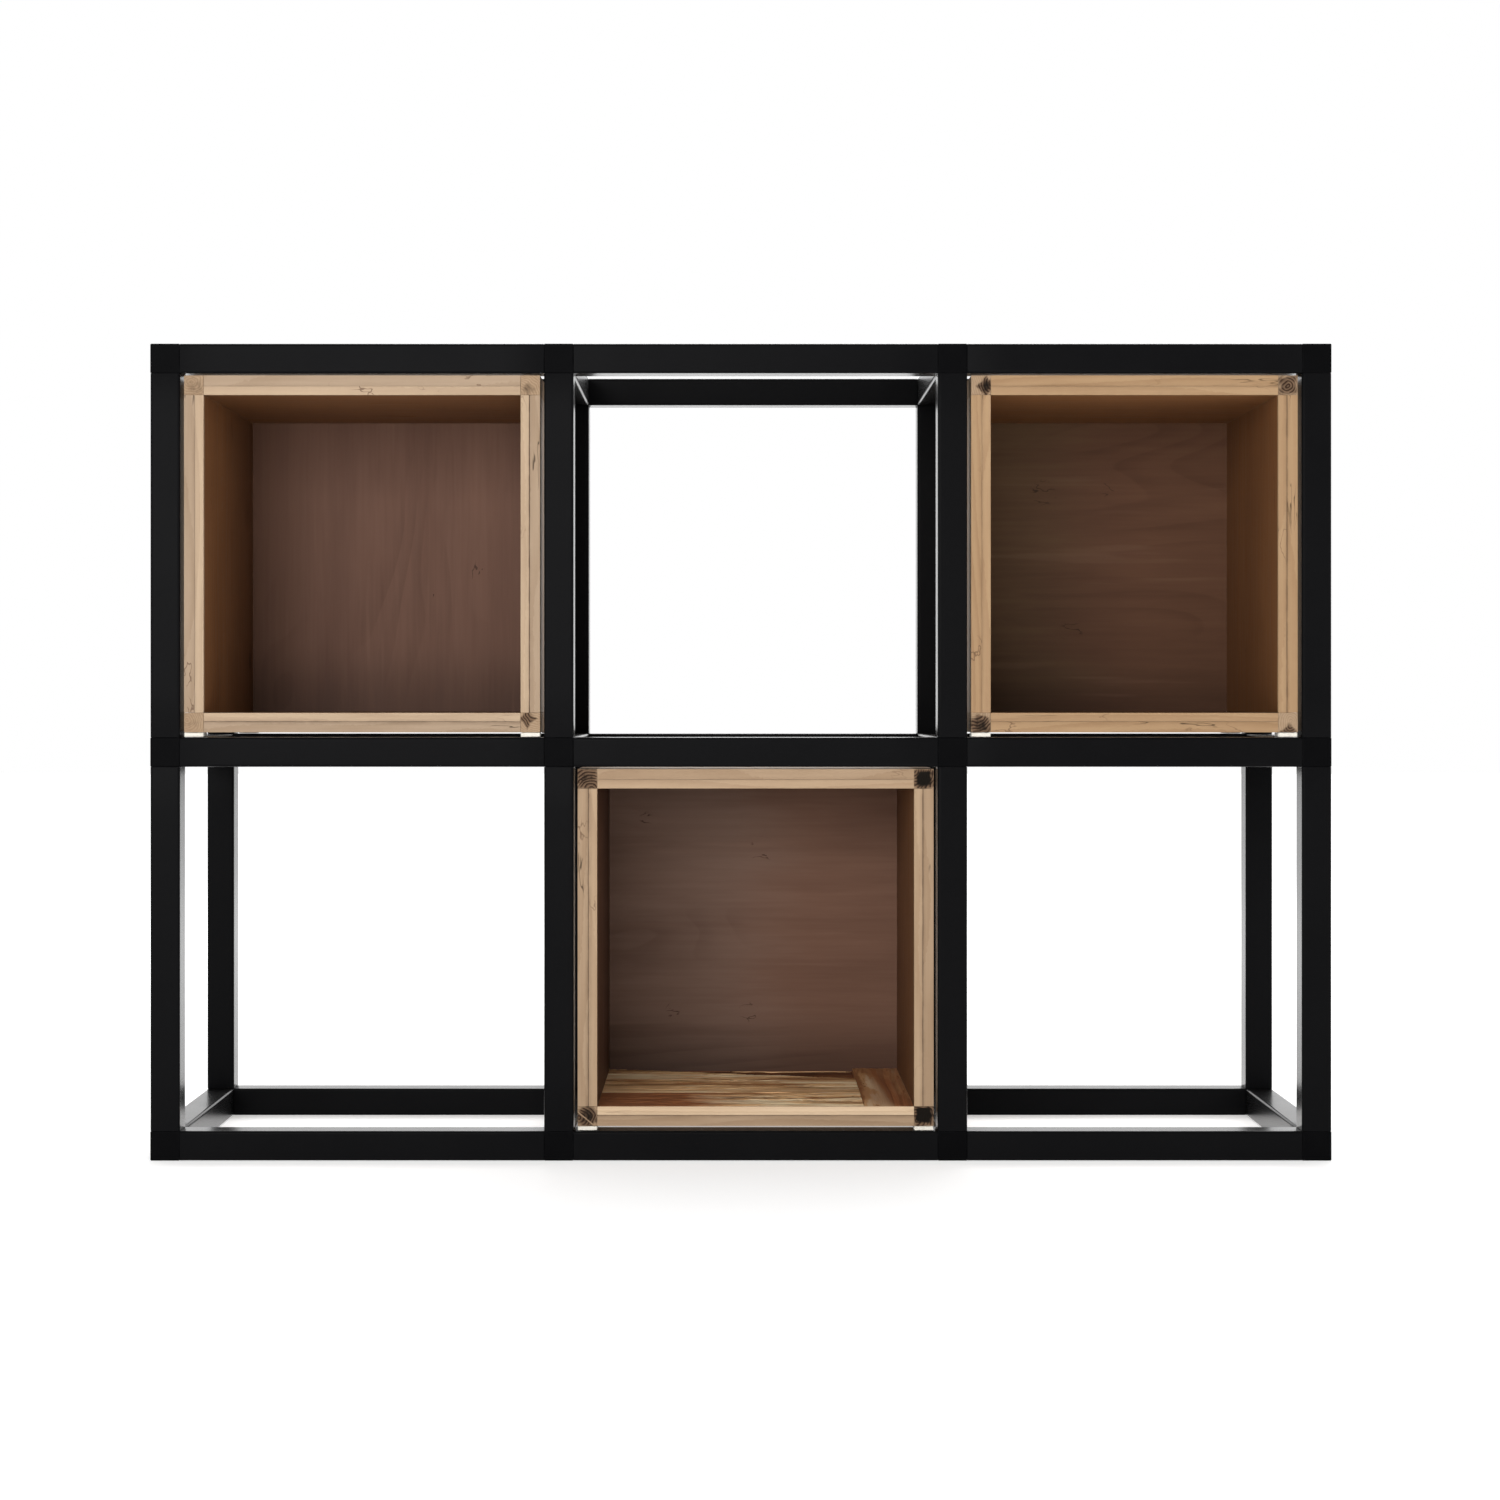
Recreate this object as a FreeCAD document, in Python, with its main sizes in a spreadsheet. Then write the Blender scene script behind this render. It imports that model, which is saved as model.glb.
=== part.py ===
import FreeCAD, Part
import os
import Sketcher
from FreeCAD import Placement, Rotation, Vector

# Cube storage unit: a frame of square steel tube, three bays wide and two bays high, pushed together on
# cube connectors, and three open-fronted wooden boxes that stand in three of its six bays. A box has a
# post in each corner, an outer board and a lining on each side between the posts, and a back panel
# held in grooves in the linings. Millimetres. +Z is up, the open side faces -Y, and the origin is on
# the floor under the middle of the frame.

SIZES = [
    ("tube_side", 30, "outer side of the square tube and of the cube connectors"),
    ("tube_wall", 1.5, "wall of the square tube"),
    ("tube_edge_radius", 2.5, "rounding of the tube's long edges"),
    ("wide_bay", 370, "clear width of the left and the middle bays"),
    ("narrow_bay", 340, "clear width of the right bays"),
    ("bay_height", 370, "clear height of every bay"),
    ("bay_depth", 270, "clear distance between the front and the back tubes"),
    ("cube_edge_radius", 1.2, "rounding of a cube connector's edges"),
    ("spigot_length", 28, "how far a spigot enters its tube"),
    ("spigot_wall", 3, "wall of the hollow spigot"),
    ("spigot_clearance", 0.15, "gap between a spigot and the inside of the tube, on each side"),
    ("box_side_gap", 4, "gap between a box and the tube on its left or right"),
    ("box_top_gap", 2, "gap between a box and the rail above it"),
    ("box_front_inset", 2, "how far a box stands behind the front of the frame"),
    ("box_rear_inset", 2, "how far a box stops short of the back of the frame"),
    ("post_side", 20, "side of the square corner post, which is a box wall's whole thickness"),
    ("lining_thickness", 9, "thickness of a box's inner board"),
    ("panel_thickness", 12, "thickness of the back panel"),
    ("panel_recess", 29, "how far the back panel stands in from the box's rear"),
    ("groove_depth", 4, "how far the back panel enters the linings"),
    ("groove_clearance", 0.2, "gap round the back panel in its grooves"),
    ("glide_height", 4.7, "thickness of the felt glides under a box"),
    ("glide_side", 20, "side of a square felt glide"),
    ("glide_seat_gap", 0.3, "gap between a glide and the rail that carries it"),
    ("dowel_diameter", 6, "diameter of the dowels between boards and posts"),
    ("dowel_in_board", 20, "how far a dowel enters a board"),
    ("dowel_in_post", 9, "how far a dowel enters a post"),
    ("dowel_clearance", 0.15, "gap round a dowel and beyond each end of it"),
    ("dowel_end_margin", 45, "distance of the first and last dowels from the box's front and back"),
    ("front_plank_depth", 100, "depth of the front plank of the middle box's floor"),
    ("side_plank_width", 50, "width of the plank at the right of the middle box's floor"),
    ("floor_joint", 0.3, "gap between the planks of the middle box's floor"),
]

doc = FreeCAD.newDocument("CubeStorageUnit")
sheet = doc.addObject("Spreadsheet::Sheet", "Sizes")
for row, (alias, value, meaning) in enumerate(SIZES, start=1):
    sheet.set(f"A{row}", meaning)
    sheet.set(f"B{row}", str(value))
    sheet.setAlias(f"B{row}", alias)
doc.recompute()


def cell(alias):
    """The expression that reads one size of the sheet."""
    return f"Sizes.{alias}"


TUBE = cell("tube_side")
HALF_TUBE = f"({TUBE} / 2)"
WIDE_PITCH = f"({TUBE} + {cell('wide_bay')})"
FRAME_WIDTH = f"(4 * {TUBE} + 2 * {cell('wide_bay')} + {cell('narrow_bay')})"
ROW_PITCH = f"({TUBE} + {cell('bay_height')})"
FRAME_DEPTH = f"(2 * {TUBE} + {cell('bay_depth')})"

# Centre lines of the uprights, the rails and the two planes of the frame.
COLUMNS = ["left", "mid_left", "mid_right", "right"]
COLUMN_X = [f"(-{FRAME_WIDTH} / 2 + {HALF_TUBE} + {i} * {WIDE_PITCH})" for i in range(3)]
COLUMN_X.append(f"({FRAME_WIDTH} / 2 - {HALF_TUBE})")
ROWS = ["bottom", "middle", "top"]
ROW_Z = [f"({HALF_TUBE} + {j} * {ROW_PITCH})" for j in range(3)]
PLANES = ["front", "back"]
PLANE_Y = {
    "front": f"(-{FRAME_DEPTH} / 2 + {HALF_TUBE})",
    "back": f"({FRAME_DEPTH} / 2 - {HALF_TUBE})",
}
BAY_WIDTHS = [cell("wide_bay"), cell("wide_bay"), cell("narrow_bay")]

# A tube or a bar is drawn with its length along local Z, and these turn it to the unit's axes.
ALONG_X = Rotation(Vector(0, 1, 0), 90)
ALONG_Y = Rotation(Vector(1, 0, 0), -90)
ALONG_Z = Rotation()

sub_parts = []


def bind_place(item, x, y, z, rotation=ALONG_Z):
    """Turns the item and ties its place to three expressions."""
    item.Placement = Placement(Vector(), rotation)
    for axis, expression in zip("xyz", (x, y, z)):
        item.setExpression(f"Placement.Base.{axis}", expression)


def origin_plane(body, role):
    """One of the body's own origin planes."""
    return next(item for item in body.Origin.OriginFeatures if item.Role == role)


def centred_rectangle(body, role, name, width, height, rise="0"):
    """A sketch of a rectangle, width by height, centred on the body's origin and raised off its plane."""
    sketch = body.newObject("Sketcher::SketchObject", name)
    sketch.AttachmentSupport = [(origin_plane(body, role), "")]
    sketch.MapMode = "FlatFace"
    add_rectangle(sketch, width, height)
    sketch.setExpression("AttachmentOffset.Base.z", rise)
    return sketch


def add_rectangle(sketch, width, height):
    """Adds a rectangle centred on the sketch's origin, with its width and height bound."""
    first = sketch.GeometryCount
    corners = [Vector(-1, -1, 0), Vector(1, -1, 0), Vector(1, 1, 0), Vector(-1, 1, 0)]
    for start, end in zip(corners, corners[1:] + corners[:1]):
        sketch.addGeometry(Part.LineSegment(start, end), False)
    for side in range(4):
        ends = (first + side, 2, first + (side + 1) % 4, 1)
        sketch.addConstraint(Sketcher.Constraint("Coincident", *ends))
    for side in (0, 2):
        sketch.addConstraint(Sketcher.Constraint("Horizontal", first + side))
        sketch.addConstraint(Sketcher.Constraint("Vertical", first + side + 1))
    sketch.addConstraint(Sketcher.Constraint("Symmetric", first, 1, first + 1, 2, -1, 1))
    for line, expression in ((first, width), (first + 1, height)):
        index = sketch.addConstraint(Sketcher.Constraint("Distance", line, 2.0))
        sketch.setExpression(f"Constraints[{index}]", expression)


def pad(body, sketch, length, both_ways=False, reverse=False):
    """Pads the sketch along its normal, or half the length to each side of its plane."""
    feature = body.newObject("PartDesign::Pad", f"{sketch.Name}_pad")
    feature.Profile = sketch
    feature.Midplane = both_ways
    feature.Reversed = reverse
    feature.setExpression("Length", length)
    return feature


def bar(name, width, height, length):
    """A solid bar of rectangular section, centred on local Z and rising from local Z = 0."""
    body = doc.addObject("PartDesign::Body", name)
    sketch = centred_rectangle(body, "XY_Plane", f"{name}_section", width, height)
    pad(body, sketch, length)
    return body


def group(name, pieces):
    """A sub-part made of separate solids."""
    compound = doc.addObject("Part::Compound", name)
    compound.Links = pieces
    sub_parts.append(compound)
    return compound


# ---- frame ----


def long_outer_edges(shape, half_side):
    """The names of the four edges that run along local Z at the corners of the outer square."""
    names = []
    for number, edge in enumerate(shape.Edges, start=1):
        ends = [vertex.Point for vertex in edge.Vertexes]
        on_corner = all(abs(abs(end.x) - half_side) < 1e-6 for end in ends)
        on_corner = on_corner and all(abs(abs(end.y) - half_side) < 1e-6 for end in ends)
        if on_corner and abs(ends[0].z - ends[1].z) > half_side:
            names.append(f"Edge{number}")
    return names


def tube(name, length, x, y, z, rotation):
    """A square tube with rounded long edges that starts at a cube's face and runs along one axis."""
    body = doc.addObject("PartDesign::Body", name)
    section = centred_rectangle(body, "XY_Plane", f"{name}_section", TUBE, TUBE)
    bore_side = f"{TUBE} - 2 * {cell('tube_wall')}"
    add_rectangle(section, bore_side, bore_side)
    straight = pad(body, section, length)
    doc.recompute([section, straight, body])
    rounded = body.newObject("PartDesign::Fillet", f"{name}_rounding")
    rounded.Base = (straight, long_outer_edges(straight.Shape, sheet.tube_side / 2))
    rounded.setExpression("Radius", cell("tube_edge_radius"))
    bind_place(body, x, y, z, rotation)
    return body


def front_and_back_tubes(plane):
    """The uprights and the rails of one plane of the frame: one sub-part for each straight run."""
    y = PLANE_Y[plane]
    for column, x in zip(COLUMNS, COLUMN_X):
        run = f"{plane}_upright_{column}"
        pieces = []
        for j in range(2):
            start = f"{ROW_Z[j]} + {HALF_TUBE}"
            pieces.append(tube(f"{run}_{j + 1}", cell("bay_height"), x, y, start, ALONG_Z))
        group(run, pieces)
    for row, z in zip(ROWS, ROW_Z):
        run = f"{plane}_rail_{row}"
        pieces = []
        for i, width in enumerate(BAY_WIDTHS):
            start = f"{COLUMN_X[i]} + {HALF_TUBE}"
            pieces.append(tube(f"{run}_{i + 1}", width, start, y, z, ALONG_X))
        group(run, pieces)


def depth_tubes(column, x):
    """The three tubes that join the front and the back of one column."""
    run = f"depth_tubes_{column}"
    start = f"{PLANE_Y['front']} + {HALF_TUBE}"
    pieces = []
    for j, z in enumerate(ROW_Z):
        pieces.append(tube(f"{run}_{j + 1}", cell("bay_depth"), x, start, z, ALONG_Y))
    group(run, pieces)


SPIGOT_SIDE = f"({TUBE} - 2 * {cell('tube_wall')} - 2 * {cell('spigot_clearance')})"
SPIGOT_BORE = f"({SPIGOT_SIDE} - 2 * {cell('spigot_wall')})"


def connector(name, x, y, z, arms):
    """A solid cube with a hollow spigot for each arm, such as ("YZ_Plane", +1) for one along +X."""
    body = doc.addObject("PartDesign::Body", name)
    section = centred_rectangle(body, "XY_Plane", f"{name}_cube", TUBE, TUBE)
    cube = pad(body, section, TUBE, both_ways=True)
    rounded = body.newObject("PartDesign::Fillet", f"{name}_rounding")
    rounded.Base = (cube, [""])
    rounded.UseAllEdges = True
    rounded.setExpression("Radius", cell("cube_edge_radius"))
    for number, (plane, side) in enumerate(arms, start=1):
        # The sketch lies on the cube's face, where the tube starts. The XZ plane's normal is -Y.
        facing = -side if plane == "XZ_Plane" else side
        rise = f"{facing} * {HALF_TUBE}"
        spigot = f"{name}_spigot_{number}"
        ring = centred_rectangle(body, plane, spigot, SPIGOT_SIDE, SPIGOT_SIDE, rise)
        add_rectangle(ring, SPIGOT_BORE, SPIGOT_BORE)
        pad(body, ring, cell("spigot_length"), reverse=facing < 0)
    bind_place(body, x, y, z)
    return body


CONNECTOR_KINDS = {3: "corner", 4: "tee", 5: "cross"}


def connectors(plane):
    """The twelve cube connectors of one plane, grouped by how many tubes each one joins."""
    inward = 1 if plane == "front" else -1
    kinds = {kind: [] for kind in CONNECTOR_KINDS.values()}
    for i, x in enumerate(COLUMN_X):
        for j, z in enumerate(ROW_Z):
            arms = [("XZ_Plane", inward)]
            arms += [("YZ_Plane", side) for side in (-1, 1) if 0 <= i + side < len(COLUMN_X)]
            arms += [("XY_Plane", side) for side in (-1, 1) if 0 <= j + side < len(ROW_Z)]
            kind = CONNECTOR_KINDS[len(arms)]
            name = f"{plane}_{COLUMNS[i]}_{ROWS[j]}_connector"
            kinds[kind].append(connector(name, x, PLANE_Y[plane], z, arms))
    for kind, pieces in kinds.items():
        group(f"{plane}_{kind}_connectors", pieces)


# ---- boxes ----

POST = cell("post_side")
BOX_DEPTH = f"({FRAME_DEPTH} - {cell('box_front_inset')} - {cell('box_rear_inset')})"
BOX_FRONT_Y = f"(-{FRAME_DEPTH} / 2 + {cell('box_front_inset')})"
INNER_DEPTH = f"({BOX_DEPTH} - {cell('panel_recess')} - {cell('panel_thickness')})"
BOX_LIFT = f"({cell('glide_seat_gap')} + {cell('glide_height')})"
BOX_HEIGHT = f"({cell('bay_height')} - {BOX_LIFT} - {cell('box_top_gap')})"
OUTER_BOARD = f"({POST} - {cell('lining_thickness')})"
DOWEL_REACH = f"({cell('dowel_in_board')} + {cell('dowel_in_post')})"
DOWEL_ROWS = 3

# The boxes by bay: the column to the left of the box, and the row below it.
BOXES = {"left": (0, 1), "middle": (1, 0), "right": (2, 1)}


def box_spans(box):
    """Expressions for a box: its middle in X, its width, its bottom and its middle in Z."""
    column, row = BOXES[box]
    left = f"({COLUMN_X[column]} + {HALF_TUBE} + {cell('box_side_gap')})"
    width = f"({BAY_WIDTHS[column]} - 2 * {cell('box_side_gap')})"
    bottom = f"({ROW_Z[row]} + {HALF_TUBE} + {BOX_LIFT})"
    return f"({left} + {width} / 2)", width, bottom, f"({bottom} + {BOX_HEIGHT} / 2)"


def wall_places(box):
    """For each wall: its length between the posts, its outer face's middle, its turn, and the way in.

    A wall's board is drawn with its length on local X, its depth on local Y and its thickness on
    local Z, growing from the outer face towards the inside of the box."""
    middle_x, width, bottom, middle_z = box_spans(box)
    across = f"({width} - 2 * {POST})"
    upright = f"({BOX_HEIGHT} - 2 * {POST})"
    top = f"({bottom} + {BOX_HEIGHT})"
    left = f"({middle_x} - {width} / 2)"
    right = f"({middle_x} + {width} / 2)"
    about_y = Vector(0, 1, 0)
    return {
        "bottom": (across, middle_x, bottom, Rotation(), (0, 1)),
        "top": (across, middle_x, top, Rotation(about_y, 180), (0, -1)),
        "left": (upright, left, middle_z, Rotation(about_y, 90), (1, 0)),
        "right": (upright, right, middle_z, Rotation(about_y, -90), (-1, 0)),
    }


def board(name, length, depth, thickness, start="0"):
    """A flat board: centred on local X, running back from local Y = start, and up from local Z = 0."""
    body = doc.addObject("PartDesign::Body", name)
    outline = centred_rectangle(body, "XY_Plane", f"{name}_outline", length, depth)
    outline.setExpression("AttachmentOffset.Base.y", f"{start} + {depth} / 2")
    pad(body, outline, thickness)
    return body


def cut_groove(body, name, length):
    """Cuts the back panel's groove across a lining, into the face that looks into the box."""
    thickness = cell("lining_thickness")
    width = f"({cell('panel_thickness')} + 2 * {cell('groove_clearance')})"
    middle = f"({INNER_DEPTH} + {cell('panel_thickness')} / 2)"
    outline = centred_rectangle(body, "XY_Plane", f"{name}_groove", length, width, thickness)
    outline.setExpression("AttachmentOffset.Base.y", middle)
    before = body.Shape.Volume
    groove = body.newObject("PartDesign::Pocket", f"{name}_groove_cut")
    groove.Profile = outline
    groove.setExpression("Length", f"{cell('groove_depth')} + {cell('groove_clearance')}")
    doc.recompute()
    if groove.Shape.Volume >= before:
        raise RuntimeError(f"the groove of {name} cuts nothing")


def seat_wall_board(body, place, inset):
    """Puts a wall's board in place, as far in from the wall's outer face as inset says."""
    _, x, z, rotation, (inward_x, inward_z) = place
    bind_place(body, f"{x} + {inward_x} * {inset}", BOX_FRONT_Y, f"{z} + {inward_z} * {inset}", rotation)


def dowel_bars(box, clearance, name):
    """Cylinders across the joints between boards and posts: the dowels, or with clearance their holes."""
    middle_x, width, bottom, _ = box_spans(box)
    radius = f"{cell('dowel_diameter')} / 2 + {clearance}"
    length = f"{DOWEL_REACH} + 2 * {clearance}"
    first = f"({BOX_FRONT_Y} + {cell('dowel_end_margin')})"
    step = f"(({BOX_DEPTH} - 2 * {cell('dowel_end_margin')}) / {DOWEL_ROWS - 1})"
    edge = f"({OUTER_BOARD} / 2)"
    start = f"({POST} - {cell('dowel_in_post')} - {clearance})"
    bars = []
    for side_x in (-1, 1):
        face_x = f"({middle_x} + {side_x} * {width} / 2)"
        for side_z in (-1, 1):
            face_z = f"({bottom} + {(1 + side_z) // 2} * {BOX_HEIGHT})"
            level = {
                "across": (f"{face_x} - {side_x} * {start}", f"{face_z} - {side_z} * {edge}"),
                "upright": (f"{face_x} - {side_x} * {edge}", f"{face_z} - {side_z} * {start}"),
            }
            turns = {
                "across": Rotation(Vector(0, 1, 0), -90 * side_x),
                "upright": Rotation(Vector(1, 0, 0), 90 + 90 * side_z),
            }
            for way, (x, z) in level.items():
                for number in range(DOWEL_ROWS):
                    bar_item = doc.addObject("Part::Cylinder", f"{name}_{len(bars) + 1}")
                    bar_item.setExpression("Radius", radius)
                    bar_item.setExpression("Height", length)
                    bind_place(bar_item, x, f"{first} + {number} * {step}", z, turns[way])
                    bars.append(bar_item)
    return bars


def bored(name, piece, holes):
    """The piece with the dowel holes cut out of it."""
    cut = doc.addObject("Part::Cut", name)
    cut.Base = piece
    cut.Tool = holes
    return cut


def lining(box, side, place):
    """The inner board of one wall, with the groove for the back panel."""
    name = f"{box}_box_{side}_lining"
    length = place[0]
    body = board(name, length, BOX_DEPTH, cell("lining_thickness"))
    doc.recompute([body])
    cut_groove(body, name, length)
    seat_wall_board(body, place, OUTER_BOARD)
    sub_parts.append(body)


def planked_floor(box, place):
    """The middle box's floor lining: a front and a rear plank, one at their right and a rear strip."""
    name = f"{box}_box_bottom_lining"
    length = place[0]
    joint = cell("floor_joint")
    side_width = cell("side_plank_width")
    front_depth = cell("front_plank_depth")
    main_length = f"({length} - {side_width} - {joint})"
    main_shift = f"(-({length} - {main_length}) / 2)"
    side_shift = f"(({length} - {side_width}) / 2)"
    side_depth = f"({INNER_DEPTH} - {joint})"
    rear_start = f"({front_depth} + {joint})"
    rear_depth = f"({side_depth} - {rear_start})"
    strip_depth = f"({BOX_DEPTH} - {INNER_DEPTH})"
    planks = {
        "front_plank": (main_length, front_depth, "0", main_shift),
        "rear_plank": (main_length, rear_depth, rear_start, main_shift),
        "side_plank": (side_width, side_depth, "0", side_shift),
        "rear_strip": (length, strip_depth, INNER_DEPTH, "0"),
    }
    _, x, z, rotation, _ = place
    pieces = []
    for plank, (plank_length, depth, start, shift) in planks.items():
        body = board(f"{name}_{plank}", plank_length, depth, cell("lining_thickness"), start)
        if plank == "rear_strip":
            doc.recompute([body])
            cut_groove(body, f"{name}_{plank}", length)
        bind_place(body, f"{x} + {shift}", BOX_FRONT_Y, f"{z} + {OUTER_BOARD}", rotation)
        pieces.append(body)
    group(name, pieces)


def back_panel(box):
    """A panel whose four edges stand in the linings' grooves, notched round the corner posts."""
    name = f"{box}_box_back_panel"
    middle_x, width, _, middle_z = box_spans(box)
    clear_width = f"({width} - 2 * {POST})"
    clear_height = f"({BOX_HEIGHT} - 2 * {POST})"
    tongue = f"(2 * {cell('groove_depth')})"
    slack = f"(2 * {cell('groove_clearance')})"
    body = doc.addObject("PartDesign::Body", name)
    sides = (f"{clear_width} + {tongue}", f"{clear_height} - {slack}")
    pad(body, centred_rectangle(body, "XY_Plane", f"{name}_wide", *sides), cell("panel_thickness"))
    sides = (f"{clear_width} - {slack}", f"{clear_height} + {tongue}")
    pad(body, centred_rectangle(body, "XY_Plane", f"{name}_tall", *sides), cell("panel_thickness"))
    rear_y = f"{BOX_FRONT_Y} + {INNER_DEPTH} + {cell('panel_thickness')}"
    bind_place(body, middle_x, rear_y, middle_z, Rotation(Vector(1, 0, 0), 90))
    sub_parts.append(body)


def corner_posts(box, holes):
    """The four square posts that run the depth of the box in its corners."""
    middle_x, width, bottom, _ = box_spans(box)
    pieces = []
    for side_x in (-1, 1):
        for low in (1, 0):
            post = bar(f"{box}_post_{len(pieces) + 1}", POST, POST, BOX_DEPTH)
            x = f"{middle_x} + {side_x} * ({width} - {POST}) / 2"
            z = f"{bottom} + {POST} / 2 + {1 - low} * ({BOX_HEIGHT} - {POST})"
            bind_place(post, x, BOX_FRONT_Y, z, ALONG_Y)
            pieces.append(bored(f"{box}_post_{len(pieces) + 1}_bored", post, holes))
    group(f"{box}_box_corner_posts", pieces)


def felt_glides(box):
    """Four square felt pads under the box's corners, over the front and the back rails."""
    middle_x, width, bottom, _ = box_spans(box)
    pieces = []
    for side_x in (-1, 1):
        x = f"{middle_x} + {side_x} * ({width} - {cell('glide_side')}) / 2"
        for side_y in (-1, 1):
            inset = cell("box_front_inset") if side_y < 0 else cell("box_rear_inset")
            y = f"{side_y} * ({FRAME_DEPTH} / 2 - {inset} - {cell('glide_side')} / 2)"
            name = f"{box}_glide_{len(pieces) + 1}"
            glide = bar(name, cell("glide_side"), cell("glide_side"), cell("glide_height"))
            bind_place(glide, x, y, f"{bottom} - {cell('glide_height')}")
            pieces.append(glide)
    group(f"{box}_box_felt_glides", pieces)


def make_box(box):
    """One wooden box: outer boards, linings, posts, back panel, glides and the dowels inside it."""
    holes = doc.addObject("Part::Compound", f"{box}_dowel_holes")
    holes.Links = dowel_bars(box, cell("dowel_clearance"), f"{box}_dowel_hole")
    places = wall_places(box)
    for side, place in places.items():
        plain = board(f"{box}_{side}_plain", place[0], BOX_DEPTH, OUTER_BOARD)
        seat_wall_board(plain, place, "0")
        sub_parts.append(bored(f"{box}_box_{side}_board", plain, holes))
    for side, place in places.items():
        if (box, side) == ("middle", "bottom"):
            planked_floor(box, place)
        else:
            lining(box, side, place)
    corner_posts(box, holes)
    back_panel(box)
    felt_glides(box)
    group(f"{box}_box_dowels", dowel_bars(box, "0", f"{box}_dowel"))


for plane in PLANES:
    front_and_back_tubes(plane)
    connectors(plane)
for column, x in zip(COLUMNS, COLUMN_X):
    depth_tubes(column, x)
for box in BOXES:
    make_box(box)
doc.recompute()

# ---- checks and files ----

for item in doc.Objects:
    if "Invalid" in item.State or "Error" in item.State:
        raise RuntimeError(f"{item.Label} failed: {item.State}")
for part in sub_parts:
    if part.Shape.isNull() or not part.Shape.isValid():
        raise RuntimeError(f"{part.Label} has no valid shape")
    if not part.Shape.Solids:
        raise RuntimeError(f"{part.Label} has no solid")

os.makedirs("parts", exist_ok=True)
for part in sub_parts:
    part.Shape.exportStep(f"parts/{part.Label}.step")
    print(f"{part.Label}: {len(part.Shape.Solids)} solids, {part.Shape.Volume / 1000:.1f} cm3")
print(f"{len(sub_parts)} sub-parts")
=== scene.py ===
import math

import bpy
import numpy as np
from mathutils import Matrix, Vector


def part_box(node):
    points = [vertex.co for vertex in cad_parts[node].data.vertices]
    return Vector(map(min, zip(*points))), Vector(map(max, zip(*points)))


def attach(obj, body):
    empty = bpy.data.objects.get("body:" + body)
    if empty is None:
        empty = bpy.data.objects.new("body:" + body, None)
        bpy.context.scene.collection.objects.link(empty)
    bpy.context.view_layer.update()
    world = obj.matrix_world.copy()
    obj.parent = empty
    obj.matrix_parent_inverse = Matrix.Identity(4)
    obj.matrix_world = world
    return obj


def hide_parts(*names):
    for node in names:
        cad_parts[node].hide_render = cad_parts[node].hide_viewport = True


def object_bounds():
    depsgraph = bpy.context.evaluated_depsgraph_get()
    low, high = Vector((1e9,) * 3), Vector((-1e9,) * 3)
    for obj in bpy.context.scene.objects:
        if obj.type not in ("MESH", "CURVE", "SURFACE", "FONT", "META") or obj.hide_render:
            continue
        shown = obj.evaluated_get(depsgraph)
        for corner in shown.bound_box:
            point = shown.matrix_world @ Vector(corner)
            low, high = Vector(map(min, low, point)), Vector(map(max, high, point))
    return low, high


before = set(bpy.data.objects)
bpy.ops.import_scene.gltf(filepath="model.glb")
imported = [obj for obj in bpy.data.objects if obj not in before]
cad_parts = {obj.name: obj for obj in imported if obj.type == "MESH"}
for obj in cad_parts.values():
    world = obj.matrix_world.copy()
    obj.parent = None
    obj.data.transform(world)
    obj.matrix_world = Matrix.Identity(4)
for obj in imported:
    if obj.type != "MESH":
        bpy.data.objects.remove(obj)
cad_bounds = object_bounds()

# Cube storage unit: a powder-coated frame of square tube on moulded cube connectors, with lined pine boxes
# in three of its bays. Metres, +Z up, the open fronts face -Y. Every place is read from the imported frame.

COLUMNS = ["left", "mid_left", "mid_right", "right"]
ROWS = ["bottom", "middle", "top"]
PLANES = ["front", "back"]
BOXES = ["left", "middle", "right"]
WALLS = ["bottom", "top", "left", "right"]

# ---- sizes of the looks ----

# A spigot has play in the tube's bore and starts a little inside its cube. The insets keep neighbouring
# pieces from touching. The skew is how far the rear plank's back edge comes forward at its right end, and
# what has fallen away behind it is painted in shade past 1 of the stain value, which is nearly black.
TUBE_CORNER = 0.0025
TUBE_WALL = 0.0015
SAW_EDGE = 0.0004
CUBE_EDGE = 0.0012
CUBE_INSET = 0.00002
SPIGOT_WALL = 0.003
SPIGOT_CORNER = 0.0015
SPIGOT_PLAY = 0.00015
SPIGOT_ROOT = 0.001
SPIGOT_RIBS = 5
SPIGOT_RIB = 0.00025
SPIGOT_LEAD = 0.0008
BOARD_EASE = 0.0004
POST_EASE = 0.0004
BOARD_BOW = 0.00005
PIECE_INSET = 0.00004
GROOVE_DEPTH = 0.0042
GROOVE_STEP = 0.0001
SEAM_WIDTH = 0.0005
PLANK_FRONT_DEPTH = 0.100
PLANK_SIDE_WIDTH = 0.050
PLANK_JOINT = 0.0003
PLANK_CRACK = 0.0016
PLANK_SAG = 0.0004
PLANK_FALL = 0.004
FALLEN_SHADE = 1.6
SKEW = 0.075
SKEW_GAP = 0.002
BROWN_REACH = 0.10
LIP_DEPTH = 0.0025
GLIDE_SIDE = 0.020
GLIDE_ROUND = 0.0011
GLIDE_FLUFF = 0.00025

# How deep the chips in an edge go.
BOARD_CHIPS = 0.0009
LINING_CHIPS = 0.0006
POST_CHIPS = 0.0008
PLANK_CHIPS = 0.0010

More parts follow.
